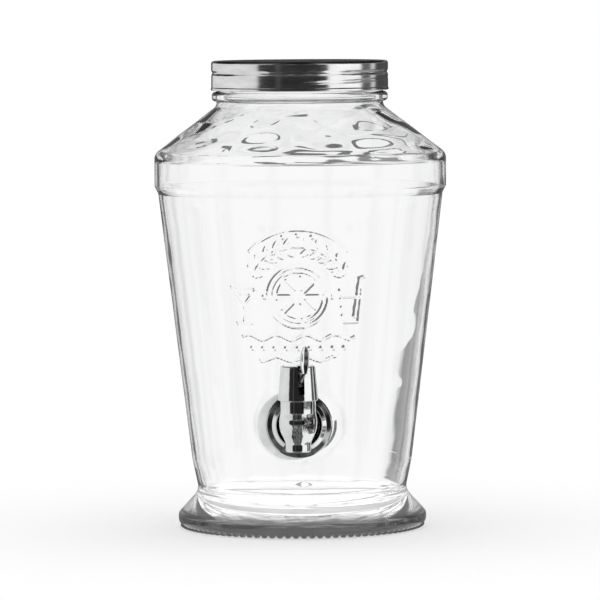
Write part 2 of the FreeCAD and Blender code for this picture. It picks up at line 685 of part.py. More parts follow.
inlet = circles(new_sketch(elbow, "elbow_inlet", "XZ_Plane"),
                ("0", "0", "Sizes.shank_radius - Sizes.shank_wall"))
pushed(elbow, "Pocket", inlet, f"{TAP_AXIS} - {SHANK_END} + Sizes.cut_overrun")
place(elbow, TAP_AXIS, "Sizes.tap_height")

# ---------------------------------------------------------------- tap: bonnet


def bonnet_outside(height):
    """The radius of the bonnet's tapered outside at a height."""
    return f"({BONNET_FOOT_RADIUS} - {BONNET_SLOPE} * ({height} - {DECK_UNDERSIDE}))"


def slot_box(body, name, floor, front):
    """The lever's slot: a box cut from a plane in front of the axis out to the front."""
    box = outline(new_sketch(body, name, "YZ_Plane"), [
        corner(f"-{front}", floor),
        corner(f"-{front}", f"{BONNET_TOP} + Sizes.cut_overrun"),
        corner(f"-{BONNET_FOOT_RADIUS} - Sizes.cut_overrun", f"{BONNET_TOP} + Sizes.cut_overrun"),
        corner(f"-{BONNET_FOOT_RADIUS} - Sizes.cut_overrun", floor),
    ])
    pushed(body, "Pocket", box, "Sizes.slot_width", both_ways=True)


CAP_SEAT = f"({bonnet_outside(CAP_FOOT)} - Sizes.bonnet_wall)"
bonnet = new_body("bonnet")
section = outline(new_sketch(bonnet, "bonnet_section", "XZ_Plane"), [
    corner(STEM_BORE, DECK_TOP),
    corner(STEM_BORE, f"{DECK_UNDERSIDE} + Sizes.gland_depth"),
    corner(GLAND_RADIUS, f"{DECK_UNDERSIDE} + Sizes.gland_depth"),
    corner(GLAND_RADIUS, DECK_UNDERSIDE),
    corner(CHAMBER_RADIUS, DECK_UNDERSIDE),
    corner(CHAMBER_RADIUS, SPIGOT_FOOT),
    corner(SPIGOT_RADIUS, SPIGOT_FOOT),
    corner(SPIGOT_RADIUS, DECK_UNDERSIDE),
    corner(BONNET_FOOT_RADIUS, DECK_UNDERSIDE, "Sizes.bonnet_foot_round"),
    corner(BONNET_TOP_RADIUS, BONNET_TOP, "Sizes.bonnet_top_round"),
    corner(f"{CAP_SEAT} + Sizes.cap_step", BONNET_TOP),
    corner(f"{CAP_SEAT} + Sizes.cap_step", CAP_FOOT),
    corner(CAP_SEAT, CAP_FOOT),
    corner(f"{bonnet_outside(DECK_TOP)} - Sizes.bonnet_wall", DECK_TOP),
])
turned(bonnet, "Revolution", section, "V_Axis")
slot_box(bonnet, "bonnet_slot", f"{DECK_TOP} + Sizes.slot_sill", "Sizes.stem_radius")
PIN_HALF = f"(sqrt({bonnet_outside(PIN_HEIGHT)} ^ 2 - {PIN_FORWARD} ^ 2) - Sizes.pin_end_inset)"
pin_holes = circles(new_sketch(bonnet, "pin_holes", "YZ_Plane"),
                    (f"-{PIN_FORWARD}", PIN_HEIGHT, PIN_BORE))
pushed(bonnet, "Pocket", pin_holes, f"({PIN_HALF} + Sizes.pin_clearance) * 2", both_ways=True)
place(bonnet, TAP_AXIS, "Sizes.tap_height", "Sizes.bonnet_turn")

cap = new_body("bonnet_cap")
cap_disc = circles(new_sketch(cap, "cap_disc", "XY_Plane", CAP_FOOT),
                   ("0", "0", f"{CAP_SEAT} + Sizes.cap_step - Sizes.cap_play"))
pushed(cap, "Pad", cap_disc, "Sizes.cap_thickness")
slot_box(cap, "cap_slot", f"{CAP_FOOT} - Sizes.cut_overrun", "Sizes.stem_radius")
place(cap, TAP_AXIS, "Sizes.tap_height", "Sizes.bonnet_turn")

stack_ring("bonnet_seal", CHAMBER_RADIUS, SPIGOT_RADIUS, "Sizes.chamber_rise", SPIGOT_FOOT)
stack_ring("gland_washer", "Sizes.stem_radius + Sizes.loose_clearance",
           f"{CHAMBER_RADIUS} - Sizes.loose_clearance", SPRING_TOP, DECK_UNDERSIDE)

# The O-ring lies in its counterbore between the stem and the bonnet's deck
ring = new_body("gland_ring")
RING_HALF = f"(({GLAND_RADIUS} - {STEM_BORE}) / 2)"
wire = circles(new_sketch(ring, "gland_ring_section", "XZ_Plane"),
               (f"{GLAND_RADIUS} - {RING_HALF}", f"{DECK_UNDERSIDE} + Sizes.gland_depth / 2",
                f"min(Sizes.gland_depth / 2; {RING_HALF})"))
turned(ring, "Revolution", wire, "V_Axis")
place(ring, TAP_AXIS, "Sizes.tap_height")

# ---------------------------------------------------------------- tap: stem and valve

stem = turned_body("stem", [
    corner("0", SOCKET_FLOOR),
    corner("Sizes.stem_radius", SOCKET_FLOOR),
    corner("Sizes.stem_radius", STEM_COLLAR_FOOT),
    corner(STEM_COLLAR, STEM_COLLAR_FOOT),
    corner(STEM_COLLAR, NECK_FOOT),
    corner(STEM_NECK, NECK_FOOT),
    corner(STEM_NECK, NECK_TOP),
    corner(STEM_COLLAR, NECK_TOP),
    corner(STEM_COLLAR, f"{NECK_TOP} + Sizes.stem_top_thickness",
           "Sizes.stem_top_thickness / 2"),
    corner("0", f"{NECK_TOP} + Sizes.stem_top_thickness"),
])
place(stem, TAP_AXIS, "Sizes.tap_height")

PLUG_RADIUS = f"({CHAMBER_RADIUS} - Sizes.plug_clearance)"
PLUG_NECK = "(Sizes.stem_radius + Sizes.plug_neck_wall)"
plug = turned_body("seat_plug", [
    corner("0", SEAT),
    corner(PLUG_RADIUS, SEAT),
    corner(PLUG_RADIUS, f"{SEAT} + Sizes.plug_brim", "Sizes.plug_edge_round"),
    corner(PLUG_NECK, f"{SEAT} + Sizes.plug_brim"),
    corner(PLUG_NECK, PLUG_TOP),
    corner("Sizes.stem_radius", PLUG_TOP),
    corner("Sizes.stem_radius", SOCKET_FLOOR),
    corner("0", SOCKET_FLOOR),
])
place(plug, TAP_AXIS, "Sizes.tap_height")
stack_ring("spring_washer", "Sizes.stem_radius",
           f"{CHAMBER_RADIUS} - Sizes.spring_washer_clearance", PLUG_TOP, SPRING_FOOT)

# The spring: round wire on a helix, its first and last turns resting on the washers
spring = new_body("stem_spring")
wire = circles(new_sketch(spring, "spring_wire", "XZ_Plane"),
               (COIL, f"{SPRING_FOOT} + Sizes.spring_wire_radius", "Sizes.spring_wire_radius"))
coil = spring.newObject("PartDesign::AdditiveHelix", "spring_coil")
coil.Profile = wire
coil.ReferenceAxis = (wire, ["V_Axis"])
coil.Mode = "height-turns-angle"
coil.setExpression("Height", f"{SPRING_TOP} - {SPRING_FOOT} - Sizes.spring_wire_radius * 2")
coil.setExpression("Turns", "Sizes.spring_turns")
place(spring, TAP_AXIS, "Sizes.tap_height")

# ---------------------------------------------------------------- tap: lever

# Sketched in the plane of its swing: across is Y, and the blade stands to -Y of the pin
FORK_ROOT = f"-({STEM_COLLAR} + Sizes.fork_root_clearance)"
BLADE_BACK = f"({BONNET_FOOT_RADIUS} - Sizes.blade_gap)"
BLADE_FRONT = f"({BLADE_BACK} + Sizes.blade_thickness)"

lever = new_body("lever")
hub = circles(new_sketch(lever, "lever_hub", "YZ_Plane"),
              (f"-{PIN_FORWARD}", PIN_HEIGHT, HUB_RADIUS))
pushed(lever, "Pad", hub, FORK_WIDTH, both_ways=True)
arms = outline(new_sketch(lever, "lever_arms", "YZ_Plane"), [
    corner(f"-{PIN_FORWARD}", f"{PIN_HEIGHT} - Sizes.arm_half_thickness"),
    corner("0", f"{TINE_HEIGHT} - Sizes.arm_half_thickness"),
    corner("0", f"{TINE_HEIGHT} + Sizes.arm_half_thickness"),
    corner(f"-{PIN_FORWARD}", f"{PIN_HEIGHT} + Sizes.arm_half_thickness"),
])
pushed(lever, "Pad", arms, FORK_WIDTH, both_ways=True)
tines = circles(new_sketch(lever, "lever_tines", "YZ_Plane"),
                ("0", TINE_HEIGHT, "Sizes.tine_radius"))
pushed(lever, "Pad", tines, FORK_WIDTH, both_ways=True)
gap = outline(new_sketch(lever, "fork_gap", "YZ_Plane"), [
    corner(FORK_ROOT, f"{TINE_HEIGHT} - Sizes.tine_radius - Sizes.cut_overrun"),
    corner("Sizes.tine_radius + Sizes.cut_overrun",
           f"{TINE_HEIGHT} - Sizes.tine_radius - Sizes.cut_overrun"),
    corner("Sizes.tine_radius + Sizes.cut_overrun",
           f"{PIN_HEIGHT} + {HUB_RADIUS} + Sizes.cut_overrun"),
    corner(FORK_ROOT, f"{PIN_HEIGHT} + {HUB_RADIUS} + Sizes.cut_overrun"),
])
pushed(lever, "Pocket", gap, f"{FORK_INNER} * 2", both_ways=True)

# The blade stands in front of the bonnet: a petal with a ridge down its front, which
# leans forward as it rises. It is lofted through five-sided sections
def blade_section(name, height, half_width):
    """A level section of the blade: a flat back, two bevelled sides and the front's ridge."""
    rise = f"(({height} - {BLADE_FOOT}) / ({BLADE_TIP} - {BLADE_FOOT}))"
    back = f"({BLADE_BACK} + Sizes.blade_lean * {rise} ^ 2)"
    thickness = f"(Sizes.blade_thickness - Sizes.blade_thinning * {rise})"
    edge = f"({back} + {thickness} - Sizes.blade_ridge_height * {half_width} / Sizes.blade_half_width)"
    return outline(new_sketch(lever, name, "XY_Plane", height), [
        corner("0", f"-{back} - {thickness}"),
        corner(half_width, f"-{edge}"),
        corner(f"{half_width} * Sizes.blade_back_share", f"-{back}"),
        corner(f"-{half_width} * Sizes.blade_back_share", f"-{back}"),
        corner(f"-{half_width}", f"-{edge}"),
    ])


HALF_PLATE = f"({LEVER_PLATE} / 2)"
SWELL = f"(Sizes.blade_half_width - {HALF_PLATE})"
blade_sections = [
    blade_section("blade_foot", BLADE_FOOT, HALF_PLATE),
    blade_section("blade_swelling", f"(({BLADE_FOOT} + {BLADE_WIDEST}) / 2)",
                  f"({HALF_PLATE} + {SWELL} * 0.75)"),
    blade_section("blade_widest", BLADE_WIDEST, "Sizes.blade_half_width"),
]
for name, share in (("blade_upper", 0.5), ("blade_crown", 0.85), ("blade_tip", 0.985)):
    blade_sections.append(blade_section(
        name, f"({BLADE_WIDEST} + ({BLADE_TIP} - {BLADE_WIDEST}) * {share})",
        f"(Sizes.blade_half_width * sqrt(1 - {share} ^ 2))"))
blade = lever.newObject("PartDesign::AdditiveLoft", "blade")
blade.Profile = blade_sections[0]
blade.Sections = blade_sections[1:]

# The stalk joins the blade to the hub through the bonnet's slot
STALK_FRONT = f"(-{BLADE_BACK} - Sizes.stalk_into_blade)"
stalk = outline(new_sketch(lever, "lever_stalk", "YZ_Plane"), [
    corner(f"-{PIN_FORWARD} - Sizes.stalk_hub_reach", PIN_HEIGHT),
    corner(f"-{PIN_FORWARD} + Sizes.stalk_hub_reach", f"{PIN_HEIGHT} + Sizes.stalk_hub_rise"),
    bow(STALK_FRONT, f"{BLADE_FOOT} + Sizes.stalk_depth", "Sizes.stalk_curve", "left"),
    corner(STALK_FRONT, BLADE_FOOT),
])
pushed(lever, "Pad", stalk, LEVER_PLATE, both_ways=True)
bore = circles(new_sketch(lever, "lever_bore", "YZ_Plane"), (f"-{PIN_FORWARD}", PIN_HEIGHT, PIN_BORE))
pushed(lever, "Pocket", bore, f"{FORK_WIDTH} + Sizes.cut_overrun * 2", both_ways=True)
place(lever, TAP_AXIS, "Sizes.tap_height", "Sizes.bonnet_turn")

# The pin ends in blind holes, so that it doesn't show on the bonnet's outside
pin = new_body("lever_pin")
pin_end = circles(new_sketch(pin, "pin_end", "YZ_Plane"),
                  (f"-{PIN_FORWARD}", PIN_HEIGHT, "Sizes.pin_radius"))
pushed(pin, "Pad", pin_end, f"2 * {PIN_HALF}", both_ways=True)
place(pin, TAP_AXIS, "Sizes.tap_height", "Sizes.bonnet_turn")

# ---------------------------------------------------------------- checks and export

doc.recompute()
for item in doc.Objects:
    if "Invalid" in item.State or "Error" in item.State:
        raise RuntimeError(f"{item.Name} didn't compute: {item.State}")

os.makedirs("parts", exist_ok=True)
for body in doc.findObjects("PartDesign::Body"):
    if body.Shape.isNull() or not body.Shape.isValid() or len(body.Shape.Solids) != 1:
        raise RuntimeError(f"{body.Label} is not one valid solid")
    body.Shape.exportStep(f"parts/{body.Label}.step")
    print(f"{body.Label:16s} {body.Shape.Volume:12.1f} mm3")
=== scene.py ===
# %% [markdown]
# A glass drinks jar with a lever tap. The jar is pressed and blown glass, the lid is bright
# tinplate, and the tap is chromed plastic. Each piece below sits on one of the moving bodies
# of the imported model, in metres, with +Z up and the tap towards -Y.

# %% Load the frame
import bpy
import bmesh
import numpy as np
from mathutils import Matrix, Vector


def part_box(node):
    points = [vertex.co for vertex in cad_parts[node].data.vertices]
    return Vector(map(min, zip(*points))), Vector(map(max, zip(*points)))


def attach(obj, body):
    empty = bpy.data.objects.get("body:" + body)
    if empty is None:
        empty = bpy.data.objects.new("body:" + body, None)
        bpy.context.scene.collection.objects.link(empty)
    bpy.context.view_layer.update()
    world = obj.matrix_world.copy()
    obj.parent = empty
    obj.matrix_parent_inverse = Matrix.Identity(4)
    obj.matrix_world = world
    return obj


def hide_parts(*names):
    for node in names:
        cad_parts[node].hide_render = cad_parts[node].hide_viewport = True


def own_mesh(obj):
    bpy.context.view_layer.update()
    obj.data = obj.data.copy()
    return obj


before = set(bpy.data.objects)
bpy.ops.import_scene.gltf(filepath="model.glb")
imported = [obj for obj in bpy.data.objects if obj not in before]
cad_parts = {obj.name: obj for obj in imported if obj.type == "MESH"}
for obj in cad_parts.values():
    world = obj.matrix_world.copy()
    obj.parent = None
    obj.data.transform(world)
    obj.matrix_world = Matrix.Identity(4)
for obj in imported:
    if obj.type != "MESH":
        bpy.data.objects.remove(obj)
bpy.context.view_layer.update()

# %% [markdown]
# Sizes below are in millimetres, as on a drawing, and become metres when a mesh gets its
# points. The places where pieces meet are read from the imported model, so that each new piece
# sits on what carries it.

# %% Places read from the model
MM = 0.001


def box_of(node):
    """Lowest and highest corner of a node of the model, in millimetres, to a tenth."""
    return [np.round(np.array(corner) / MM, 1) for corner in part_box(node)]


def middle_of(node, axis):
    """Middle of a node's box along one axis, in millimetres."""
    low, high = box_of(node)
    return (low[axis] + high[axis]) / 2


X, Y, Z = 0, 1, 2
BAND_RADIUS = box_of("glass_jar")[1][X]
RIM_HEIGHT = box_of("glass_jar")[1][Z]
LID_FOOT, LID_TOP = (corner[Z] for corner in box_of("lid_shell"))
TAP_AXIS_Y = middle_of("stem", Y)
TAP_HEIGHT = middle_of("tap_flange", Z)
BOSS_FACE_Y = box_of("outer_gasket")[1][Y]
PAD_FACE_Y = box_of("inner_gasket")[0][Y]
print("jar", 2 * BAND_RADIUS, "mm across and", RIM_HEIGHT, "high, tap at", TAP_HEIGHT)

# %% [markdown]
# The camera comes first, because everything is judged through it. Such jars are shot from a few
# metres away with a long lens, which keeps the sides of the jar nearly upright. A long lens is
# only a narrow angle of view, so the place of the camera fixes the perspective and the lens
# fixes the size. The camera looks down by under four degrees, so the lid's top is a thin line.

# %% Camera
LENS = 297.3
CAMERA_PLACE = (0.0707, -3.36, 0.371)
LOOK_DOWN, ROLL, TURN_LEFT = 3.69, 0.37, 1.194               # degrees

scene = bpy.context.scene
camera_data = bpy.data.cameras.new("camera")
camera = bpy.data.objects.new("camera", camera_data)
scene.collection.objects.link(camera)
scene.camera = camera
camera_data.sensor_width = 36
camera_data.lens = LENS
camera_data.clip_start = 0.1
camera_data.clip_end = 50
camera.location = CAMERA_PLACE
camera.rotation_euler = np.radians((90 - LOOK_DOWN, ROLL, TURN_LEFT))
print("camera at", CAMERA_PLACE, "lens", LENS)

# %% [markdown]
# Materials and the room are drawn with nodes. Each helper adds one kind of node to a tree, fills
# its sockets and gives back what comes out of it.

# %% Helpers: nodes
def feed(tree, socket, value):
    """Fills a socket: with a link where the value is a socket, with a grey where it is a colour
    and the value one number, and otherwise with the value itself."""
    if isinstance(value, bpy.types.NodeSocket):
        tree.links.new(value, socket)
    elif socket.type == "RGBA" and np.isscalar(value):
        socket.default_value = (value, value, value, 1)
    else:
        socket.default_value = value


def add_node(tree, kind, values=None):
    """A new shader node, with the input sockets named or numbered in values filled."""
    node = tree.nodes.new("ShaderNode" + kind)
    for label, value in (values or {}).items():
        feed(tree, node.inputs[label], value)
    return node


def math_node(tree, operation, *values):
    """A Math node on one, two or three values; returns its output."""
    node = add_node(tree, "Math", dict(enumerate(values)))
    node.operation = operation
    return node.outputs[0]


def mix_node(tree, factor, first, second, blend="MIX"):
    """A colour Mix node, whose sixth and seventh inputs are its colours; returns its colour."""
    node = tree.nodes.new("ShaderNodeMix")
    node.data_type = "RGBA"
    node.blend_type = blend
    for label, value in (("Factor", factor), (6, first), (7, second)):
        feed(tree, node.inputs[label], value)
    return node.outputs[2]


def ramp_node(tree, factor, *stops):
    """A Color Ramp from (position, grey or colour) pairs, flat beyond its ends; returns its
    colour."""
    node = add_node(tree, "ValToRGB", {0: factor})
    marks = node.color_ramp.elements
    while len(marks) < len(stops):
        marks.new(1.0)
    for mark, (position, colour) in zip(marks, stops):
        mark.position = position
        mark.color = (*((colour,) * 3 if np.isscalar(colour) else colour), 1)
    return node.outputs[0]


def noise_node(tree, vector, scale, detail, stretch=None):
    """A Noise Texture, on coordinates that may be stretched first; returns its value."""
    if stretch:
        vector = add_node(tree, "Mapping", {"Vector": vector, "Scale": stretch}).outputs[0]
    noise = add_node(tree, "TexNoise", {"Vector": vector, "Scale": scale, "Detail": detail})
    return noise.outputs[0]


def split(tree, vector):
    """The three coordinates of a vector, as sockets."""
    return add_node(tree, "SeparateXYZ", {0: vector}).outputs


def bearing_of(tree, across, ahead):
    """atan2(across, ahead) in turns, moved so that 0.5 is straight ahead."""
    angle = math_node(tree, "ARCTAN2", across, ahead)
    return math_node(tree, "MULTIPLY_ADD", angle, 0.5 / np.pi, 0.5)


print("node helpers ready")

# %% [markdown]
# Glass and chrome have almost no colour of their own: they show the room. A bright wall with
# dark sides makes the glass white in the middle and draws its edges in grey. The far walls are
# what is seen through the glass: one long dark flag on the right, which comes nearer to the
# middle low down, a thin one on the left, and paler ones beyond.

# %% Far walls
FLAG_GREY, PALE_GREY = 0.12, 0.2


def far_walls(tree, direction, x, y, up):
    """Brightness seen through glass. The bearing is 0.5 straight behind the jar, and the height
    is 0.5 at the horizon, 1 overhead."""
    behind = bearing_of(tree, x, y)
    lean = ramp_node(tree, up, (0.4575, 0.0), (0.4605, 0.32), (0.468, 0.52), (0.481, 1.0))
    slid = math_node(tree, "MULTIPLY_ADD", lean, -0.05, behind)
    right = ramp_node(tree, slid, (0.5115, 0.0), (0.5145, 0.93), (0.535, 1.0), (0.548, 0.95),
                      (0.556, 0.0))
    streaks = noise_node(tree, direction, 1.0, 3.0, (55.0, 55.0, 6.0))
    grain = ramp_node(tree, streaks, (0.3, 0.55), (0.7, 1.5))
    walls = mix_node(tree, right, 1.0, math_node(tree, "MULTIPLY", grain, 0.09))
    left = ramp_node(tree, behind, (0.420, 0.0), (0.424, 1.0), (0.440, 1.0), (0.444, 0.0))
    walls = mix_node(tree, left, walls, FLAG_GREY)
    # one pale flag in each eighth of a turn, but none straight behind
    eighth = math_node(tree, "FRACT", math_node(tree, "MULTIPLY", behind, 8.0))
    pale = ramp_node(tree, eighth, (0.40, 0.0), (0.44, 0.6), (0.56, 0.6), (0.60, 0.0))
    away = ramp_node(tree, behind, (0.34, 1.0), (0.36, 0.0), (0.64, 0.0), (0.66, 1.0))
    walls = mix_node(tree, math_node(tree, "MULTIPLY", pale, away), walls, PALE_GREY)
    # the camera's side of the room is a little darker
    near = ramp_node(tree, behind, (0.22, 0.85), (0.28, 1.0), (0.72, 1.0), (0.78, 0.85))
    walls = mix_node(tree, 1.0, walls, near, "MULTIPLY")
    ceiling = ramp_node(tree, up, (0.0, 0.8), (0.40, 1.0), (0.646, 1.0), (0.656, 0.3),
                        (0.70, 0.3), (0.712, 0.95), (0.93, 0.95), (1.0, 0.6))
    walls = mix_node(tree, 1.0, walls, ceiling, "MULTIPLY")
    # a row of dark gear hangs over the far wall, with gaps in it
    gear = noise_node(tree, direction, 1.0, 1.0, (16.0, 16.0, 3.0))
    there = ramp_node(tree, gear, (0.47, 0.0), (0.50, 1.0))
    row = ramp_node(tree, up, (0.536, 0.0), (0.541, 1.0), (0.573, 1.0), (0.579, 0.0))
    return mix_node(tree, math_node(tree, "MULTIPLY", row, there), walls, FLAG_GREY)


print("far walls: flags at", FLAG_GREY, "and", PALE_GREY)

# %% [markdown]
# A mirror that faces the camera shows the near side of the room: a dark room behind the camera,
# a tall window on the right, grey walls on the left, and strips beyond. Below the horizon they
# run straight down, because the lower parts of the tap would smear them otherwise.

# %% Near walls
def near_bearing(tree, x, y, z, up):
    """Bearing round the jar, 0.5 towards the camera. Below the horizon -y gives way to
    sqrt(y^2 + z^2), which makes the strips run straight down."""
    below = ramp_node(tree, up, (0.28, 1.0), (0.44, 0.0))
    square = math_node(tree, "MULTIPLY_ADD", z, z, math_node(tree, "MULTIPLY", y, y))
    ahead = math_node(tree, "MULTIPLY", y, -1.0)
    gap = math_node(tree, "SUBTRACT", math_node(tree, "SQRT", square), ahead)
    return bearing_of(tree, x, math_node(tree, "MULTIPLY_ADD", gap, below, ahead))


def near_walls(tree, direction, bearing, up):
    """Brightness seen in a mirror, by bearing and height."""
    # away from the horizon the dark room is narrower, so there the bearing is stretched
    off = ramp_node(tree, up, (0.36, 1.0), (0.44, 0.0), (0.55, 0.0), (0.62, 1.0))
    turned = math_node(tree, "SUBTRACT", bearing, 0.5)
    stretched = math_node(tree, "MULTIPLY", math_node(tree, "MULTIPLY", turned, off), 0.6)
    bands = ramp_node(
        tree, math_node(tree, "ADD", bearing, stretched),
        (0.0, 0.02), (0.055, 0.03), (0.07, 0.7), (0.25, 0.76), (0.335, 0.70), (0.345, 0.62),
        (0.352, 0.03), (0.41, 0.015), (0.425, 0.07), (0.44, 0.015), (0.604, 0.02), (0.612, 1.0),
        (0.742, 1.0), (0.752, 0.08), (0.795, 0.1), (0.803, 0.6), (0.822, 0.6), (0.83, 0.05),
        (0.93, 0.07), (1.0, 0.03))
    roof = ramp_node(tree, up, (0.0, 0.6), (0.1, 0.9), (0.56, 1.0), (0.63, 0.8), (0.68, 0.12),
                     (1.0, 0.06))
    walls = mix_node(tree, 1.0, bands, roof, "MULTIPLY")
    # the dark room has a grey clutter above and below the lens
    clutter = ramp_node(tree, noise_node(tree, direction, 9.0, 4.0), (0.35, 0.02), (0.65, 0.42))
    heights = ramp_node(tree, up, (0.0, 0.45), (0.36, 0.8), (0.435, 0.0), (0.545, 0.0),
                        (0.575, 0.8), (0.62, 0.5), (0.66, 0.0))
    return mix_node(tree, math_node(tree, "MULTIPLY", heights, clutter), walls, 0.75)


print("near walls: for metal")

# %% [markdown]
# Clear glass mirrors only a little, and mostly the white wall round the camera, so it gets a
# plainer mirror than metal does. What is neither glass nor metal gets the same plain white
# light from all round. Lamps would only light the floor, so none is needed.

# %% Studio
scene.view_settings.view_transform = "Standard"
world = bpy.data.worlds.new("studio")
scene.world = world
world.use_nodes = True


def build_studio(tree):
    """Direction -> brightness, by what kind of ray looks there."""
    tree.nodes.clear()
    direction = add_node(tree, "TexCoord").outputs["Generated"]
    x, y, z = split(tree, direction)
    up = math_node(tree, "MULTIPLY_ADD", z, 0.5, 0.5)
    through = far_walls(tree, direction, x, y, up)
    bearing = near_bearing(tree, x, y, z, up)
    mirrored = near_walls(tree, direction, bearing, up)
    faint = ramp_node(tree, bearing, (0.0, 0.2), (0.2, 0.25), (0.3, 1.0), (0.7, 1.0),
                      (0.8, 0.25), (1.0, 0.2))
    ray = add_node(tree, "LightPath").outputs
    mirrored = mix_node(tree, ray["Is Singular Ray"], mirrored, faint)
    shown = mix_node(tree, ray["Is Glossy Ray"], 1.0, mirrored)
    seen = mix_node(tree, ray["Is Transmission Ray"], shown, through)
    background = add_node(tree, "Background", {"Color": seen, "Strength": 1.0})
    add_node(tree, "OutputWorld", {"Surface": background.outputs[0]})


build_studio(world.node_tree)
print("studio:", len(world.node_tree.nodes), "nodes")

# %% [markdown]
# New pieces are arrays of points that run round in their columns, as a tube does. The tube's
# ends either draw in to poles, which gives a closed skin, or join, which gives a ring.

# %% Helpers: meshes from grids of points
def mesh_of(name, points, faces):
    """A mesh object from an array of points in millimetres and a list of face index arrays, all
    shaded smooth. Faces of each array have as many corners as it has columns."""
    mesh = bpy.data.meshes.new(name)
    mesh.vertices.add(len(points))
    mesh.vertices.foreach_set("co", (np.asarray(points) * MM).astype(np.float32).ravel())
    sizes = np.concatenate([np.full(len(f), f.shape[1]) for f in faces])
    corners = np.concatenate([f.ravel() for f in faces])
    mesh.loops.add(len(corners))
    mesh.loops.foreach_set("vertex_index", corners.astype(np.int32))
    mesh.polygons.add(len(sizes))
    mesh.polygons.foreach_set("loop_start", (np.cumsum(sizes) - sizes).astype(np.int32))
    mesh.update(calc_edges=True)
    mesh.validate()
    mesh.shade_smooth()
    piece = bpy.data.objects.new(name, mesh)
    scene.collection.objects.link(piece)
    return piece


def grid_faces(rows, columns, wrap_rows=False):
    """Quads between neighbouring points of a grid that wraps in its columns."""
    i = np.arange(rows if wrap_rows else rows - 1)[:, None]
    j = np.arange(columns)[None, :]
    below, right = (i + 1) % rows, (j + 1) % columns
    quads = np.stack([i * columns + j, i * columns + right,
                      below * columns + right, below * columns + j], -1)
    return quads.reshape(-1, 4)


def closed_skin(grid, poles=None):
    """Points and faces of a (rows, columns, 3) grid whose first and last row each draw in to a
    pole: the points given, or the mean of that row."""
    rows, columns = grid.shape[:2]
    if poles is None:
        poles = [grid[0].mean(0), grid[-1].mean(0)]
    points = np.concatenate([grid.reshape(-1, 3), poles])
    j = np.arange(columns)
    k = (j + 1) % columns
    last_row = (rows - 1) * columns
    first = np.stack([np.full(columns, rows * columns), k, j], -1)
    last = np.stack([np.full(columns, rows * columns + 1), last_row + j, last_row + k], -1)
    return points, [grid_faces(rows, columns), first, last]


def ring_skin(grid):
    """Points and faces of a grid that wraps both ways, as a ring does."""
    return grid.reshape(-1, 3), [grid_faces(*grid.shape[:2], wrap_rows=True)]


def round_turn(count):
    """Angles of a full turn in equal steps, as one row."""
    return np.linspace(0, 2 * np.pi, count, endpoint=False)[None, :]


def ease(t):
    """Smooth step from 0 to 1: 3 t^2 - 2 t^3, flat at both ends."""
    t = np.clip(t, 0, 1)
    return t * t * (3 - 2 * t)


def give(piece, material, body, *nodes):
    """The piece takes its material, rides on a body and stands for the CAD nodes named."""
    piece.data.materials.clear()
    piece.data.materials.append(material)
    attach(piece, body)
    if nodes:
        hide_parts(*nodes)
    triangles = len(piece.data.loops) - 2 * len(piece.data.polygons)
    print(f"{piece.name}: {triangles} triangles, rides on {body}")


def new_material(name):
    """An empty material, and its tree of nodes."""
    material = bpy.data.materials.new(name)
    material.use_nodes = True
    material.node_tree.nodes.clear()
    return material, material.node_tree


print("mesh helpers ready")

# %% [markdown]
# The floor is a round white table top. Glass at the jar's edge looks past it to the dark flags,
# and it melts into the white wall behind, but the jar still shades it where it stands.

# %% Table top
TABLE_RADIUS, TABLE_LEVEL = 1100.0, -0.3


def build_white_floor():
    """White matt paint. Glass shows it as a table lit from below; a mirror looks past it."""
    material, tree = new_material("white_table")
    paint = add_node(tree, "BsdfDiffuse", {"Color": 0.8}).outputs[0]
    glow = add_node(tree, "Emission", {"Color": 1.0, "Strength": 0.22}).outputs[0]
    under = add_node(tree, "Emission", {"Color": 0.97, "Strength": 1.0}).outputs[0]
    passes = add_node(tree, "BsdfTransparent").outputs[0]
    ray = add_node(tree, "LightPath").outputs
    both = add_node(tree, "AddShader", {0: paint, 1: glow}).outputs[0]
    lit = add_node(tree, "MixShader", {0: ray["Is Transmission Ray"], 1: both, 2: under})
    pick = add_node(tree, "MixShader", {0: ray["Is Glossy Ray"], 1: lit.outputs[0], 2: passes})
    add_node(tree, "OutputMaterial", {"Surface": pick.outputs[0]})
    return material


around = round_turn(96)
painted_ring_shade = np.array([[TABLE_RADIUS], [200.0]])
table_grid = np.stack([painted_ring_shade * np.cos(around), painted_ring_shade * np.sin(around),
                       np.full((2, 96), TABLE_LEVEL)], -1)
table_points = np.concatenate([table_grid.reshape(-1, 3), [[0, 0, TABLE_LEVEL]]])
j = np.arange(96)
middle = np.stack([np.full(96, 192), 96 + j, 96 + (j + 1) % 96], -1)
floor = mesh_of("table_top", table_points, [grid_faces(2, 96), middle])
floor.data.materials.append(build_white_floor())
print("table top of", TABLE_RADIUS, "mm radius")

# %% [markdown]
# The jar has a flared foot, a body that widens upwards, a plain band under a sloping shoulder,
# and a neck with a bead and a screw thread. Its profile is carried round the axis, from the
# middle of the base up the outside, over the rim and down the inside. That makes one closed
# skin, with no surface inside the wall, because light bends at every surface it meets.

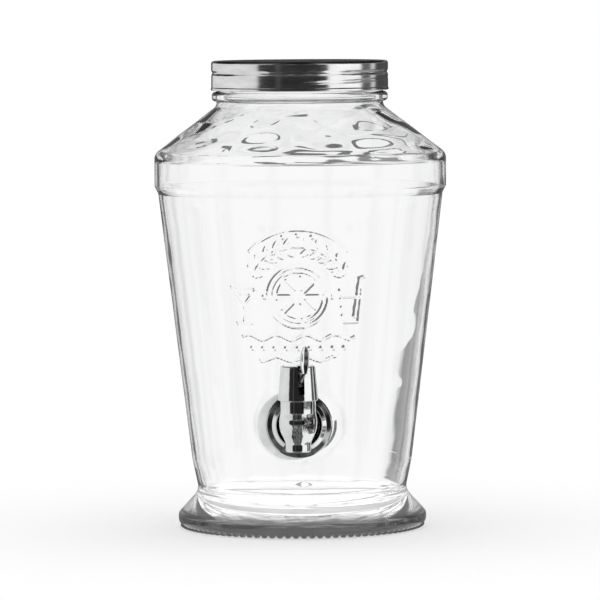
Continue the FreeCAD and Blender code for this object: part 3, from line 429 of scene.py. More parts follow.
# %% Helper: a profile with rounded corners
def rounded(corners, step=1.0, bend_steps=7):
    """Points along straight runs joined by arcs. At a corner of rounding q and turn t the arc
    starts q * tan(t / 2) before it. Runs are divided so that no piece is longer than step."""
    corners = [tuple(c) + (0,) * (3 - len(c)) for c in corners]
    path = np.array([c[:2] for c in corners], float)
    stations = [path[:1]]
    for before, corner, after, (_, _, q) in zip(path[:-2], path[1:-1], path[2:], corners[1:-1]):
        to_before, to_after = before - corner, after - corner
        to_before = to_before / np.linalg.norm(to_before)
        to_after = to_after / np.linalg.norm(to_after)
        if q == 0:
            stations.append(corner[None])
            continue
        opening = np.arccos(np.clip(to_before @ to_after, -1, 1))
        back_off = q / np.tan(opening / 2)
        middle = to_before + to_after
        centre = corner + middle / np.linalg.norm(middle) * q / np.sin(opening / 2)
        start = corner + to_before * back_off - centre
        end = corner + to_after * back_off - centre
        turn = np.arctan2(start[0] * end[1] - start[1] * end[0], start @ end)
        a = np.linspace(0, turn, bend_steps)
        stations.append(centre + np.stack([start[0] * np.cos(a) - start[1] * np.sin(a),
                                           start[0] * np.sin(a) + start[1] * np.cos(a)], 1))
    stations.append(path[-1:])
    line = np.concatenate(stations)
    runs = np.linalg.norm(np.diff(line, axis=0), axis=1)
    counts = np.maximum(1, np.ceil(runs / step)).astype(int)
    share = np.concatenate([np.arange(n) / n for n in counts] + [[1]])
    start = np.append(np.repeat(np.arange(len(runs)), counts), len(runs) - 1)
    return line[start] * (1 - share[:, None]) + line[start + 1] * share[:, None]


def between(low, high, heights):
    """Rows of a straight wall from one (radius, height) to another, at the heights given."""
    radii = low[0] + (heights - low[1]) * (high[0] - low[0]) / (high[1] - low[1])
    return np.stack([radii, heights], 1)


print("a rounded square corner takes", len(rounded([(0, 0), (9, 0, 2), (9, 9)])), "points")

# %% [markdown]
# The profile is made of stretches, with many rows where the ornament and the thread stand and
# few elsewhere. A pair is a radius and a height, and a third number is the corner's rounding.

# %% Jar profile
FOOT_RADIUS, FOOT_SIDE_TOP = 84.3, 9.9
ANKLE, WAIST, WALL_TOP = (70.2, 25.3, 9), (74.6, 46.5), (96.4, 226.8)
BAND_TOP, BAND_STEP = 254.1, 232.2
NECK_RADIUS, NECK_FOOT, BORE_RADIUS = 56.5, 286.4, 52.1
BEAD_RADIUS, BEAD_LOW, BEAD_HIGH = 59.7, 289.5, 296.0
THREAD_LOW, THREAD_HIGH = 298.4, 313.2
INNER_WAIST, INNER_SHOULDER = (70.6, 46.5), (95.4, 251.7)
WELL_RADIUS, WELL_LEVEL = 66.6, 12.5

foot_rows = rounded([(2, 10.4), (56, 9.0, 8), (67.5, 2.6, 3), (70, 1.3), (FOOT_RADIUS, 1.3, 5.2),
                     (FOOT_RADIUS, FOOT_SIDE_TOP, 4), ANKLE, (*WAIST, 45), (80, 91.2)], 3.6)
foot_rows = foot_rows[(foot_rows[:, 1] < 49) | (foot_rows[:, 0] < 60)]
wall_rows = between(WAIST, WALL_TOP, np.concatenate([
    np.arange(49.5, 117, 1.5), np.arange(117.5, 209.5, 0.8), np.linspace(211, 224.5, 6)]))
top_rows = rounded([(96.3, 226.0), (96.45, 227.4, 1.6), (BAND_RADIUS, BAND_STEP, 1.6),
                    (BAND_RADIUS, BAND_TOP, 6.8), (NECK_RADIUS, NECK_FOOT, 5),
                    (NECK_RADIUS, BEAD_LOW), (BEAD_RADIUS, BEAD_LOW, 2.6),
                    (BEAD_RADIUS, BEAD_HIGH, 2.6), (NECK_RADIUS, BEAD_HIGH),
                    (NECK_RADIUS, 298)], 2.6, 6)
thread_rows = np.stack([np.full(20, NECK_RADIUS), np.linspace(THREAD_LOW, THREAD_HIGH, 20)], 1)
rim_rows = rounded([(NECK_RADIUS, 313.7), (NECK_RADIUS, RIM_HEIGHT, 1.6),
                    (BORE_RADIUS, RIM_HEIGHT, 1.6), (BORE_RADIUS, 313)], 1.6, 5)
shoulder_rows = rounded([(BORE_RADIUS, 312), (BORE_RADIUS, 284, 6.8), (*INNER_SHOULDER, 6.8),
                         (95.4, 232.6, 1.6), (92.47, 227.5, 1.6), (72, 58)], 2.3, 7)
shoulder_rows = shoulder_rows[shoulder_rows[:, 1] > 222]
plain_rows = between((72, 58), (92.47, 227.5), np.arange(112.0, 220, 9.0))[::-1]
boss_rows = between(INNER_WAIST, INNER_SHOULDER, np.linspace(110.0, 47.0, 30))
well_rows = rounded([INNER_WAIST, (WELL_RADIUS, 29.3, 9), (WELL_RADIUS, WELL_LEVEL, 12),
                     (3, 15)], 6.0, 6)
outside = [foot_rows, wall_rows, top_rows, thread_rows, rim_rows[:len(rim_rows) // 2]]
inside = [rim_rows[len(rim_rows) // 2:], shoulder_rows, plain_rows, boss_rows, well_rows]
profile = np.concatenate(outside + inside)
outer_count = sum(map(len, outside))
print("jar profile:", len(profile), "rows,", outer_count, "outside")

# %% [markdown]
# The front carries a raised ornament: a citrus wheel under an arch of leaves, with a stemmed
# glass and a tumbler beside it and waves below. Raised lines on glass show only at their
# sloping sides, which look at the dark flags, so each line is a low ridge with steep sides.

# %% Helpers: ridges
def ridge(distance, half_width, side=0.6):
    """1 on a line, falling to 0 over the side's width, by the smooth step."""
    return 1 - ease((np.abs(distance) - half_width) / side)


def stroke(x, z, start, end, half_width=0.45):
    """A straight raised line: the distance to a segment is measured from its nearest point."""
    (ax, az), (bx, bz) = start, end
    length = (bx - ax) ** 2 + (bz - az) ** 2
    t = np.clip(((x - ax) * (bx - ax) + (z - az) * (bz - az)) / length, 0, 1)
    return ridge(np.hypot(x - ax - t * (bx - ax), z - az - t * (bz - az)), half_width)


def leaf(x, z, cx, cz, angle, length, width):
    """Two arcs that meet in points: |v| < w * (1 - (u / l)^2), with a groove down its middle."""
    u = (x - cx) * np.cos(angle) + (z - cz) * np.sin(angle)
    v = -(x - cx) * np.sin(angle) + (z - cz) * np.cos(angle)
    edge = width * (1 - (u / length) ** 2)
    body = ease((edge - np.abs(v)) / 0.65) * (np.abs(u) < length)
    return body * (1 - 0.8 * ridge(v, 0.2, 0.5))


print("a ridge of 0.45 mm is", ridge(np.array([0.0, 0.75, 1.05]), 0.45), "high at 0, 0.75, 1.05")

# %% [markdown]
# The motifs are functions of x and z in millimetres from the wheel's middle. Each gives a
# height from 0 to 1, and the highest of all wins, so that lines may cross.

# %% Ornament
SEGMENT = 2 * np.pi / 8
PEEL_RADIUS, RIND_RADIUS = 18.6, 15.6
ARCH_RADIUS, OVERLINE_RADIUS = 31.0, 41.5
STEMMED_GLASS = (((-43, 6), (-25, 6)), ((-43, 6), (-34, -5)), ((-25, 6), (-34, -5)),
                 ((-34, -5), (-34, -16)), ((-39, -16.5), (-29, -16.5)), ((-39.5, 2), (-28.5, 2)))
TUMBLER = (((26, 4), (28, -16)), ((40, 4), (38, -16)), ((28, -16), (38, -16)),
           ((26.4, 0), (39.6, 0)), ((35, -13), (39, 11)), ((39, 11), (43, 12)))
WAVE_LINES = ((-25.0, 36.0, 1.6), (-38.5, 24.0, 1.3))        # height, half length, swing
DOTS = ([(7.2 * k, -31.8) for k in range(-4, 5)]
        + [(-9, 37), (0, 38), (9, 37), (-21, 0), (21, 0)])


def wheel(r, a):
    """A slice of citrus fruit: two rings round eight segments of pulp with rounded edges."""
    across = np.abs((a / SEGMENT) % 1.0 - 0.5) * SEGMENT * r
    pulp = ease((SEGMENT / 2 * r - across - 0.9) / 0.7)
    pulp = pulp * ease((r - 3.6) / 0.8) * ease((13.8 - r) / 0.7)
    painted_ring_shade = np.maximum(ridge(r - PEEL_RADIUS, 0.7), ridge(r - RIND_RADIUS, 0.35))
    return np.maximum(painted_ring_shade, 0.85 * pulp)


def leafy_arch(x, z, r, a):
    """Paired leaves on a bent stem, and a thin line over them."""
    height = ridge(r - ARCH_RADIUS, 0.4) * (a > 0.42) * (a < np.pi - 0.42)
    over = 0.8 * ridge(r - OVERLINE_RADIUS, 0.3) * (a > 0.72) * (a < np.pi - 0.72)
    height = np.maximum(height, over)
    for turn in np.radians(np.arange(30, 90, 12.5)):
        for side in (-1, 1):
            for out, lean in ((34.3, 0.75), (27.7, -0.75)):
                cx, cz = out * np.cos(turn), out * np.sin(turn)
                angle = turn + np.pi / 2 - lean
                height = np.maximum(height, leaf(side * x, z, cx, cz, angle, 5.2, 2.0))
    return height


def ornament(x, z):
    """Height from 0 to 1 of the whole ornament."""
    r, a = np.hypot(x, z), np.arctan2(z, x)
    height = np.maximum(wheel(r, a), leafy_arch(x, z, r, a))
    for start, end in STEMMED_GLASS + TUMBLER:
        height = np.maximum(height, stroke(x, z, start, end))
    for level, reach, swing in WAVE_LINES:
        wave = z - level - swing * np.sin(x * 2 * np.pi / 18.0)
        height = np.maximum(height, ridge(wave, 0.42) * (np.abs(x) < reach))
    for dot_x, dot_z in DOTS:
        height = np.maximum(height, ridge(np.hypot(x - dot_x, z - dot_z), 1.0, 0.75))
    return height


print("ornament:", len(STEMMED_GLASS + TUMBLER), "strokes and", len(DOTS), "dots")

# %% [markdown]
# The columns of the jar's grid are close together in front, where the ornament and the boss are.
# Points are moved along the glass's normal, the profile's slope turned by a right angle.

# %% Jar grid
FRONT_HALF = 31.5                                            # degrees each side of the tap
front = np.linspace(-FRONT_HALF, FRONT_HALF, 125)
rest_of_turn = np.linspace(FRONT_HALF, 360 - FRONT_HALF, 88)[1:-1]
theta = np.radians(np.concatenate([front, rest_of_turn]))[None, :]
radius, height = profile[:, :1], profile[:, 1:]
is_outside = np.arange(len(profile))[:, None] < outer_count
slope = np.gradient(profile, axis=0)
slope = slope / np.maximum(np.linalg.norm(slope, axis=1, keepdims=True), 1e-9)
normal_r, normal_z = slope[:, 1:], -slope[:, :1]             # points out of the glass
print("jar grid:", len(profile), "rows of", theta.size, "columns")

# %% [markdown]
# Blown glass is never quite even. A sum of a few sines in all directions does for that: slight
# on the wall, and strong on the shoulder, where the glass was last to touch the mould.

# %% Uneven glass
def waves(angle, height, seed, count=9, longest=70.0, shortest=24.0, least_lean=0.0):
    """A sum of sines whole in their turns, of random lengths, leans and phases, scaled to stay
    about within -1 and 1."""
    random = np.random.default_rng(seed)
    total = np.zeros(np.broadcast(angle, height).shape)
    for _ in range(count):
        wave = random.uniform(shortest, longest)
        lean = random.uniform(least_lean, np.pi - least_lean)
        round_waves = np.round(2 * np.pi * 90 / wave * np.cos(lean))
        total += np.sin(round_waves * angle + 2 * np.pi * height / wave * np.sin(lean)
                        + random.uniform(0, 2 * np.pi))
    return total / np.sqrt(count)


fade = ease((radius - 30) / 30) * ease((300 - height) / 12)
on_shoulder = ease((height - 253) / 7) * ease((290 - height) / 8)
uneven_inside = (0.03 * fade * waves(theta, height, 7)
                 + 0.42 * on_shoulder * waves(theta, height, 5, 7, 24.0, 13.0, 1.2))
uneven_outside = (0.02 * fade * waves(theta, height, 11)
                  + 0.12 * on_shoulder * waves(theta, height, 23, 7, 24.0, 14.0, 1.2))
print("uneven by up to %.2f mm inside, %.2f outside"
      % (np.abs(uneven_inside).max(), np.abs(uneven_outside).max()))

# %% [markdown]
# The thread has two starts, so two ridges climb side by side. A point's phase is its height in
# leads less its turn, and the ridge lies where the phase is halfway. Ornament, thread and
# unevenness are added up and put on along the normal.

# %% Relief
ORNAMENT_HEIGHT, ORNAMENT_SCALE, ORNAMENT_RISE = 162.0, 1.08, 0.9
THREAD_LEAD, THREAD_STARTS, THREAD_RISE = 13.0, 2, 1.45

on_wall = is_outside & (height > 100) & (height < 212) & (radius > 70)
design = ornament(theta * radius / ORNAMENT_SCALE, (height - ORNAMENT_HEIGHT) / ORNAMENT_SCALE)
phase = ((height - 300.0) / THREAD_LEAD - theta / (2 * np.pi)) * THREAD_STARTS
from_ridge = np.abs(phase % 1.0 - 0.5) * THREAD_LEAD / THREAD_STARTS
thread = THREAD_RISE * ridge(from_ridge, 0.7, 1.0)
thread = thread * ease((height - 298.2) / 2) * ease((313.0 - height) / 2)
on_neck = is_outside & (height > 297.5) & (radius < 58.5)
raise_by = (np.where(on_wall, ORNAMENT_RISE * design, 0) + np.where(on_neck, thread, 0)
            + np.where(is_outside, 0, uneven_inside)
            + np.where(is_outside & (height > 20), uneven_outside, 0))
x = (radius + raise_by * normal_r) * np.sin(theta)
y = -(radius + raise_by * normal_r) * np.cos(theta)
z = height + raise_by * normal_z
print("relief up to %.2f mm" % raise_by.max())

# %% [markdown]
# The tap's flat seat is a round boss that blends into the sloping wall, with a flat pad for the
# gasket inside. The boss sits a little lower than the tap's middle, and its blend is shorter
# below than above. The inner blend starts nearer to the middle, which keeps the wall even.

# %% Boss
BOSS_HEIGHT = TAP_HEIGHT - 2.6
BOSS_BACK_Y = -76.4
BOSS_RADIUS, BOSS_RADIUS_INSIDE, BOSS_BLEND = 24.0, 22.9, 8.0
PAD_RADIUS, PAD_BLEND = 15.9, 4.0

in_front = y < -40
from_boss = np.hypot(x, (z - BOSS_HEIGHT) * np.where(z < BOSS_HEIGHT, 1.12, 1.0))
edge = np.where(is_outside, BOSS_RADIUS, BOSS_RADIUS_INSIDE)
flat_here = (1 - ease((from_boss - edge) / BOSS_BLEND)) * in_front
y = y + (np.where(is_outside, BOSS_FACE_Y, BOSS_BACK_Y) - y) * flat_here
from_tap = np.hypot(x, z - TAP_HEIGHT)
pad = (1 - ease((from_tap - PAD_RADIUS) / PAD_BLEND)) * (~is_outside & in_front)
y = y + (PAD_FACE_Y - y) * pad
glass = mesh_of("jar_glass", *closed_skin(np.stack([x, y, z], -1)))
print("boss face at y =", BOSS_FACE_Y, "and pad at", PAD_FACE_Y)

# %% [markdown]
# The tap's shank passes through a round hole in the boss. A boolean cut drills it after the
# wall is whole, which keeps the grid simple, and the cutter goes once it is applied.

# %% Tap hole
HOLE_RADIUS = 9.0


def drill_along_y(piece, radius, start, end, height):
    """Cuts a round hole from one y to another at the given height through the piece."""
    a = round_turn(64)
    ends = np.array([[end], [start]])
    grid = np.stack(np.broadcast_arrays(radius * np.cos(a), ends, height + radius * np.sin(a)), -1)
    cutter = mesh_of("hole_cutter", *closed_skin(grid))
    cut = piece.modifiers.new("hole", "BOOLEAN")
    cut.object = cutter
    cut.operation = "DIFFERENCE"
    cut.solver = "EXACT"
    graph = bpy.context.evaluated_depsgraph_get()
    mesh = bpy.data.meshes.new_from_object(piece.evaluated_get(graph))
    piece.modifiers.clear()
    old, piece.data = piece.data, mesh
    bpy.data.meshes.remove(old)
    bpy.data.objects.remove(cutter)


drill_along_y(glass, HOLE_RADIUS, -90.0, -60.0, TAP_HEIGHT)
body = bmesh.new()
body.from_mesh(glass.data)
open_edges = sum(not edge.is_manifold for edge in body.edges)
volume = body.calc_volume(signed=True)
body.free()
print(f"glass: {open_edges} open edges, volume {volume * 1e6:.0f} cm3")

# %% [markdown]
# Clear soda-lime glass bends light by an index of about 1.5. A facing ramp on the base colour
# takes two or three hundredths of the light at each surface, and much more at grazing angles:
# the path through the wall is long there, but most of that darkening is painted shade that draws
# the edges dark. The solid foot is painted grey for rays from the camera, as painted shade for
# the light that goes round in it many times, and an even glow, painted light, stands for the
# light that goes round too often to follow.

# %% Glass
# the foot's painted shade thins out between these two heights
FOOT_LOW, FOOT_CLEAR = 0.0125, 0.0205                        # metres, where the grey thins out


def object_place(tree):
    """Coordinates on the object, in metres."""
    return add_node(tree, "TexCoord").outputs["Object"]


def bump_node(tree, height, strength, distance):
    """A Bump node; returns its normal."""
    return add_node(tree, "Bump", {"Height": height, "Strength": strength,
                                   "Distance": distance}).outputs[0]


def build_glass(name, hidden_behind_glass=False):
    """Clear glass. A piece hidden behind glass shows only to rays straight from the camera, and
    lets all other light pass, because the join would clutter the view."""
    material, tree = new_material(name)
    facing = add_node(tree, "LayerWeight", {"Blend": 0.5}).outputs["Facing"]
    # painted shade: the base colour darkens towards grazing angles, down to 0.3, to draw the edges
    # dark
    edge = ramp_node(tree, facing, (0.0, (0.978, 0.98, 0.979)), (0.80, (0.97, 0.975, 0.973)),
                     (0.90, (0.6, 0.61, 0.607)), (1.0, (0.3, 0.305, 0.303)))
    place = object_place(tree)
    streak = noise_node(tree, place, 1.0, 3.0, (60.0, 60.0, 700.0))
    level = math_node(tree, "MULTIPLY_ADD", streak, 0.008, split(tree, place)[Z])
    thick = add_node(tree, "MapRange", {"Value": level, "From Min": FOOT_LOW,
                                        "From Max": FOOT_CLEAR}).outputs[0]
    # painted shade: the solid foot darkens down to 0.006, for camera rays only
    painted_foot_shade = ramp_node(tree, thick, (0.0, 0.006), (0.45, 0.05), (0.7, 0.35), (1.0, 1.0))
    from_camera = add_node(tree, "LightPath").outputs["Is Camera Ray"]
    painted_foot_shade = mix_node(tree, from_camera, 1.0, painted_foot_shade)
    # painted light: an even glow in the foot, where there is no lamp
    glow = ramp_node(tree, math_node(tree, "MULTIPLY", level, 25.0), (0.0, 0.012), (0.30, 0.02),
                     (0.42, 0.13), (0.66, 0.13), (0.78, 0.0))
    skin = noise_node(tree, place, 45.0, 1.0)
    shader = add_node(tree, "BsdfPrincipled", {
        "Metallic": 0.0, "Transmission Weight": 1.0, "IOR": 1.47, "Roughness": 0.0,
        "Base Color": mix_node(tree, 1.0, edge, painted_foot_shade, "MULTIPLY"),
        "Emission Color": glow, "Emission Strength": 1.0,
        "Normal": bump_node(tree, skin, 0.15, 0.0006)})
    if hidden_behind_glass:
        tree.links.new(from_camera, shader.inputs["Alpha"])
    add_node(tree, "OutputMaterial", {"Surface": shader.outputs[0]})
    return material


give(glass, build_glass("clear_glass"), "jar", "glass_jar")

# %% [markdown]
# Under the foot runs a ring of small raised beads. They keep the hot jar off the belt of the
# cooling oven, and they draw its lower edge as a row of scallops. Each is a low dome with a few
# dozen faces, let into the glass above it. One is worked out and turned round the jar.

# %% Foot beads
BEADS, BEAD_RING = 94, 79.6
BEAD_LENGTH, BEAD_WIDTH, BEAD_RISE, BEAD_MIDDLE = 3.6, 2.15, 1.7, 1.72     # half sizes, height

v = np.linspace(0, np.pi, 7)[1:-1][:, None]                  # from the bead's lowest point up
u = round_turn(10)
bead_grid = np.stack(np.broadcast_arrays(
    BEAD_RING + BEAD_LENGTH * np.sin(v) * np.cos(u), BEAD_WIDTH * np.sin(v) * np.sin(u),
    BEAD_MIDDLE - BEAD_RISE * np.cos(v)), -1)
bead_poles = [(BEAD_RING, 0, BEAD_MIDDLE + side * BEAD_RISE) for side in (-1, 1)]
bead_points, bead_faces = closed_skin(bead_grid, bead_poles)
outward, sideways, up = bead_points.T[:, None, :]
turn = round_turn(BEADS).T
ring = np.stack([outward * np.cos(turn) - sideways * np.sin(turn),
                 outward * np.sin(turn) + sideways * np.cos(turn), up + 0 * turn], -1)
offset = len(bead_points) * np.arange(BEADS)[:, None, None]
beads = mesh_of("foot_beads", ring.reshape(-1, 3),
                [(faces + offset).reshape(-1, faces.shape[1]) for faces in bead_faces])
give(beads, build_glass("bead_glass", hidden_behind_glass=True), "jar")

# %% [markdown]
# The metals share one effect: polish is never even, so the sheen wanders a little and the
# surface has a faint orange peel. It is made once as a group of nodes and used with other
# numbers on each material.

# %% Uneven polish, shared by the metals
def build_polish():
    """A node group. Roughness wanders between Least and Most with the cloud; Height is the
    peel, finer than the cloud; Stretch squeezes both along Z."""
    group = bpy.data.node_groups.new("uneven_polish", "ShaderNodeTree")
    for label in ("Scale", "Stretch", "Least", "Most"):
        group.interface.new_socket(label, in_out="INPUT", socket_type="NodeSocketFloat")
    for label in ("Roughness", "Height", "Cloud"):
        group.interface.new_socket(label, in_out="OUTPUT", socket_type="NodeSocketFloat")
    given = group.nodes.new("NodeGroupInput").outputs
    result = group.nodes.new("NodeGroupOutput").inputs
    x, y, z = split(group, object_place(group))
    squeezed = math_node(group, "MULTIPLY", z, given["Stretch"])
    place = add_node(group, "CombineXYZ", {0: x, 1: y, 2: squeezed}).outputs[0]
    cloud = noise_node(group, place, given["Scale"], 3.0)
    peel = noise_node(group, place, math_node(group, "MULTIPLY", given["Scale"], 2.5), 1.0)
    spread = math_node(group, "SUBTRACT", given["Most"], given["Least"])
    rough = math_node(group, "MULTIPLY_ADD", cloud, spread, given["Least"])
    for label, value in (("Roughness", rough), ("Height", peel), ("Cloud", cloud)):
        group.links.new(value, result[label])
    return group


polish = build_polish()
print("shared group:", polish.name)

# %% [markdown]
# Each finish takes two tones and lets the cloud of the shared group choose between them, so
# that none is one flat colour. Chrome is a bright mirror. Tinplate is softer, with a grain that
# runs round the lid. Silicone and nylon are pale, soft and not metal. Steel is greyer.

# %% Finishes
def finish_of(name, tones, metallic, roughness, scale, stretch=1.0, bump=0.03):
    """A material of a dark and a light tone with uneven polish, of least and most roughness;
    returns it with its tree, its shader and the tone."""
    material, tree = new_material(name)
    shared = tree.nodes.new("ShaderNodeGroup")
    shared.node_tree = polish
    for label, value in zip(("Scale", "Stretch", "Least", "Most"), (scale, stretch, *roughness)):
        shared.inputs[label].default_value = value
    dark, light = tones
    tone = ramp_node(tree, shared.outputs["Cloud"], (0.35, dark), (0.65, light))
    shader = add_node(tree, "BsdfPrincipled", {
        "Metallic": metallic, "Roughness": shared.outputs["Roughness"], "Base Color": tone,
        "Normal": bump_node(tree, shared.outputs["Height"], bump, 0.001)})
    add_node(tree, "OutputMaterial", {"Surface": shader.outputs[0]})
    return material, tree, shader, tone


CHROME_TONES = (0.86, 0.87, 0.88), (0.95, 0.955, 0.96)
FINISHES = {
    "chrome_plate": (CHROME_TONES, 1.0, (0.025, 0.07), 120.0),
    "tinplate": (((0.84, 0.84, 0.845), (0.97, 0.97, 0.975)), 1.0, (0.09, 0.2), 60.0, 4.0, 0.06),
    # painted shade: chrome darkened to 0.16 to 0.5, for the lever's core in the slot
    "chrome_in_painted_shade": (((0.16, 0.16, 0.165), (0.5, 0.5, 0.51)), 1.0, (0.1, 0.25), 400.0),
    "bright_steel": (((0.5, 0.5, 0.51), (0.68, 0.68, 0.69)), 1.0, (0.2, 0.4), 150.0),
    "clear_silicone": (((0.74, 0.75, 0.75), (0.88, 0.89, 0.89)), 0.0, (0.3, 0.5), 90.0),
    "milky_nylon": (((0.74, 0.74, 0.72), (0.84, 0.84, 0.82)), 0.0, (0.35, 0.55), 90.0),
    "dark_rubber": (((0.03, 0.03, 0.032), (0.07, 0.07, 0.072)), 0.0, (0.45, 0.65), 200.0)}
chrome, tinplate, chrome_in_painted_shade, steel, silicone, nylon, rubber = (
    finish_of(name, *numbers)[0] for name, numbers in FINISHES.items())
print("finishes:", *FINISHES)

# %% [markdown]
# The lid is a cap of thin tinplate and again one closed skin, whose inner side follows the outer
# at the thickness of the sheet. Most rows of the flat top are left out.

# %% Lid profile
SKIRT_RADIUS, SHEET = 59.95, 0.95
HEM_RADIUS = 60.25

lid_inside = SKIRT_RADIUS - SHEET
lid_rows = rounded([(1.5, LID_TOP - 0.6), (lid_inside, LID_TOP - 0.6, 1.2),
                    (lid_inside, 297.9, 0.2), (58.9, LID_FOOT, 0.3), (HEM_RADIUS, LID_FOOT, 0.5),
                    (HEM_RADIUS, 298.6, 0.3), (SKIRT_RADIUS, 298.9), (SKIRT_RADIUS, LID_TOP, 1.9),
                    (1.5, LID_TOP)], 0.6, 7)
is_flat = (np.abs(np.gradient(lid_rows[:, 1])) < 1e-6) & (lid_rows[:, 0] < 57.4)
kept_rows = ~is_flat | (np.arange(len(lid_rows)) % 12 == 0)
kept_rows[[0, -1]] = True
lid_rows = lid_rows[kept_rows]
print("lid profile:", len(lid_rows), "rows")

# %% [markdown]
# Rolling leaves one shallow groove all round, deeper at the sides and a little out of level, and
# a second that climbs like the thread. Across its height a groove is a bell curve.

# %% Lid
GROOVE_HEIGHT, GROOVE_DEPTH, GROOVE_WIDTH = 309.0, 0.8, 1.05
SECOND_HEIGHT, SECOND_DEPTH, SECOND_WIDTH = 302.4, 0.22, 0.9

lid_angle = round_turn(240)
lid_r, lid_z = lid_rows[:, :1], lid_rows[:, 1:]
side_press = 0.14 + 0.86 * np.sin(lid_angle) ** 2
off_level = lid_z - GROOVE_HEIGHT - 0.25 * np.sin(lid_angle)
groove = GROOVE_DEPTH * side_press * np.exp(-(off_level / GROOVE_WIDTH) ** 2)
climb = lid_angle - np.radians(5)
climb = np.where(climb > np.pi, climb - 2 * np.pi, climb)
off_second = lid_z - SECOND_HEIGHT - THREAD_LEAD * climb / (2 * np.pi)
fade_in = ease((climb + 0.15) / 0.35) * ease((2.4 - climb) / 0.6)
second = SECOND_DEPTH * fade_in * np.exp(-(off_second / SECOND_WIDTH) ** 2)
on_side = (lid_r > 58.5) & (lid_z > 299.2) & (lid_z < 314.5)
lid_r = lid_r - np.maximum(groove, second) * on_side
lid_r = lid_r + 0.05 * np.sin(5 * lid_angle + 0.7) * np.sin(lid_z * 0.5) * on_side
lid_grid = np.stack(np.broadcast_arrays(
    lid_r * np.sin(lid_angle), -lid_r * np.cos(lid_angle), lid_z), -1)
lid_cap = mesh_of("lid_cap", *closed_skin(lid_grid[::-1]))
give(lid_cap, tinplate, "lid", "lid_shell")
on_skin = (lid_rows[:, 0] < 59.5) & (lid_rows[:, 1] < 316)
print("tightest lid radius inside: %.2f mm" % lid_r[on_skin].min())

# %% [markdown]
# The tap's flange is a shallow chrome dish that holds the gasket to the boss. From the front it
# is a set of rings: a recess round the arm, a bright inner slope, an outer bevel and a rounded
# edge. Its colour carries painted shade: nearly black in the recess, darker on the outer bevel.
# Its columns are reversed, so that its faces point outwards.

# %% Flange
FLANGE_BACK_Y = -82.52
flange_rows = rounded([(10.4, -84.35), (13.9, -84.35, 0.9), (15.0, -87.0, 0.3), (15.5, -87.25, 0.3),
                       (18.0, -84.9, 0.9), (21.3, -84.0, 0.6), (22.1, -83.3, 0.5),
                       (22.1, FLANGE_BACK_Y), (10.4, FLANGE_BACK_Y)], 0.45, 6)[:-1]


def about_level_axis(rows, aside, height):
    """Points round an axis along Y: x = s + r cos a and z = h + r sin a, for rows of (r, y)."""
    r, y = rows[:, :1], rows[:, 1:]
    a = round_turn(128)
    return np.stack(np.broadcast_arrays(aside + r * np.cos(a), y, height + r * np.sin(a)), -1)


def flange_painted_shade_finish():
    """Chrome whose tone goes by the distance from the flange's axis, sqrt(x^2 + (z - h)^2), as
    painted shade: nearly black in the recess round the arm and darker on the outer bevel.
    """
    material, tree, shader, tone = finish_of("flange_chrome_painted_shade", CHROME_TONES, 1.0, (0.05, 0.12),
                                             120.0)
    x, y, z = split(tree, object_place(tree))
    above = math_node(tree, "SUBTRACT", z, BOSS_HEIGHT * MM)
    square = math_node(tree, "MULTIPLY_ADD", x, x, math_node(tree, "MULTIPLY", above, above))
    distance = math_node(tree, "MULTIPLY", math_node(tree, "SQRT", square), 40.0)
    # painted shade in rings: nearly black inside 14.6 mm, full tone on the inner slope, 0.6 beyond
    # 18.3 mm
    painted_ring_shade = ramp_node(tree, distance, (0.585, 0.04), (0.605, 1.0), (0.71, 1.0), (0.73, 0.6))
    feed(tree, shader.inputs["Base Color"], mix_node(tree, 1.0, tone, painted_ring_shade, "MULTIPLY"))
    return material


flange_grid = about_level_axis(flange_rows, 0, BOSS_HEIGHT)
flange = mesh_of("flange_dish", *ring_skin(flange_grid[:, ::-1]))
give(flange, flange_painted_shade_finish(), "jar", "tap_flange")

# %% [markdown]
# The soft gasket under the flange has slipped to the left at its edge, where a pale crescent of
# it shows, while the shank holds its hole. So a wider circle has its middle further left.

# %% Outer gasket
GASKET_HOLE, GASKET_RADIUS = 9.4, 23.1
GASKET_SLIP_HOLE, GASKET_SLIP_EDGE, GASKET_DROP = 0.9, 5.0, 0.4
gasket_rows = rounded([(GASKET_HOLE, -80.55), (GASKET_RADIUS, -80.55, 0.6),
                       (GASKET_RADIUS, -82.5, 0.7), (GASKET_HOLE, -82.5)], 0.6, 5)
slip = np.interp(gasket_rows[:, :1], [GASKET_HOLE, GASKET_RADIUS],
                 [GASKET_SLIP_HOLE, GASKET_SLIP_EDGE])
gasket_grid = about_level_axis(gasket_rows, -slip, BOSS_HEIGHT - GASKET_DROP)
gasket = mesh_of("outer_gasket_ring", *ring_skin(gasket_grid))
give(gasket, silicone, "jar", "outer_gasket")

# %% [markdown]
# The body of the tap keeps its shape in the model, drawn in a little to stay inside the new skin
# of its front. The node's mesh is loose triangles, so a copy of it is merged first.

# %% Tap body
def drawn_copy(node, name, move=None):
    """A copy of a CAD node with its doubled points merged and its points moved by a rule that
    takes and gives an array of millimetres."""
    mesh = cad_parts[node].data.copy()
    mesh.name = name
    piece = bpy.data.objects.new(name, mesh)
    scene.collection.objects.link(piece)
    body = bmesh.new()
    body.from_mesh(mesh)
    bmesh.ops.remove_doubles(body, verts=body.verts, dist=1e-6)
    body.to_mesh(mesh)
    body.free()
    if move:
        points = np.empty(len(mesh.vertices) * 3, np.float32)
        mesh.vertices.foreach_get("co", points)
        moved = move(points.reshape(-1, 3).astype(float) / MM)
        mesh.vertices.foreach_set("co", (moved * MM).astype(np.float32).ravel())
    mesh.update()
    mesh.set_sharp_from_angle(angle=np.radians(30))
    return piece


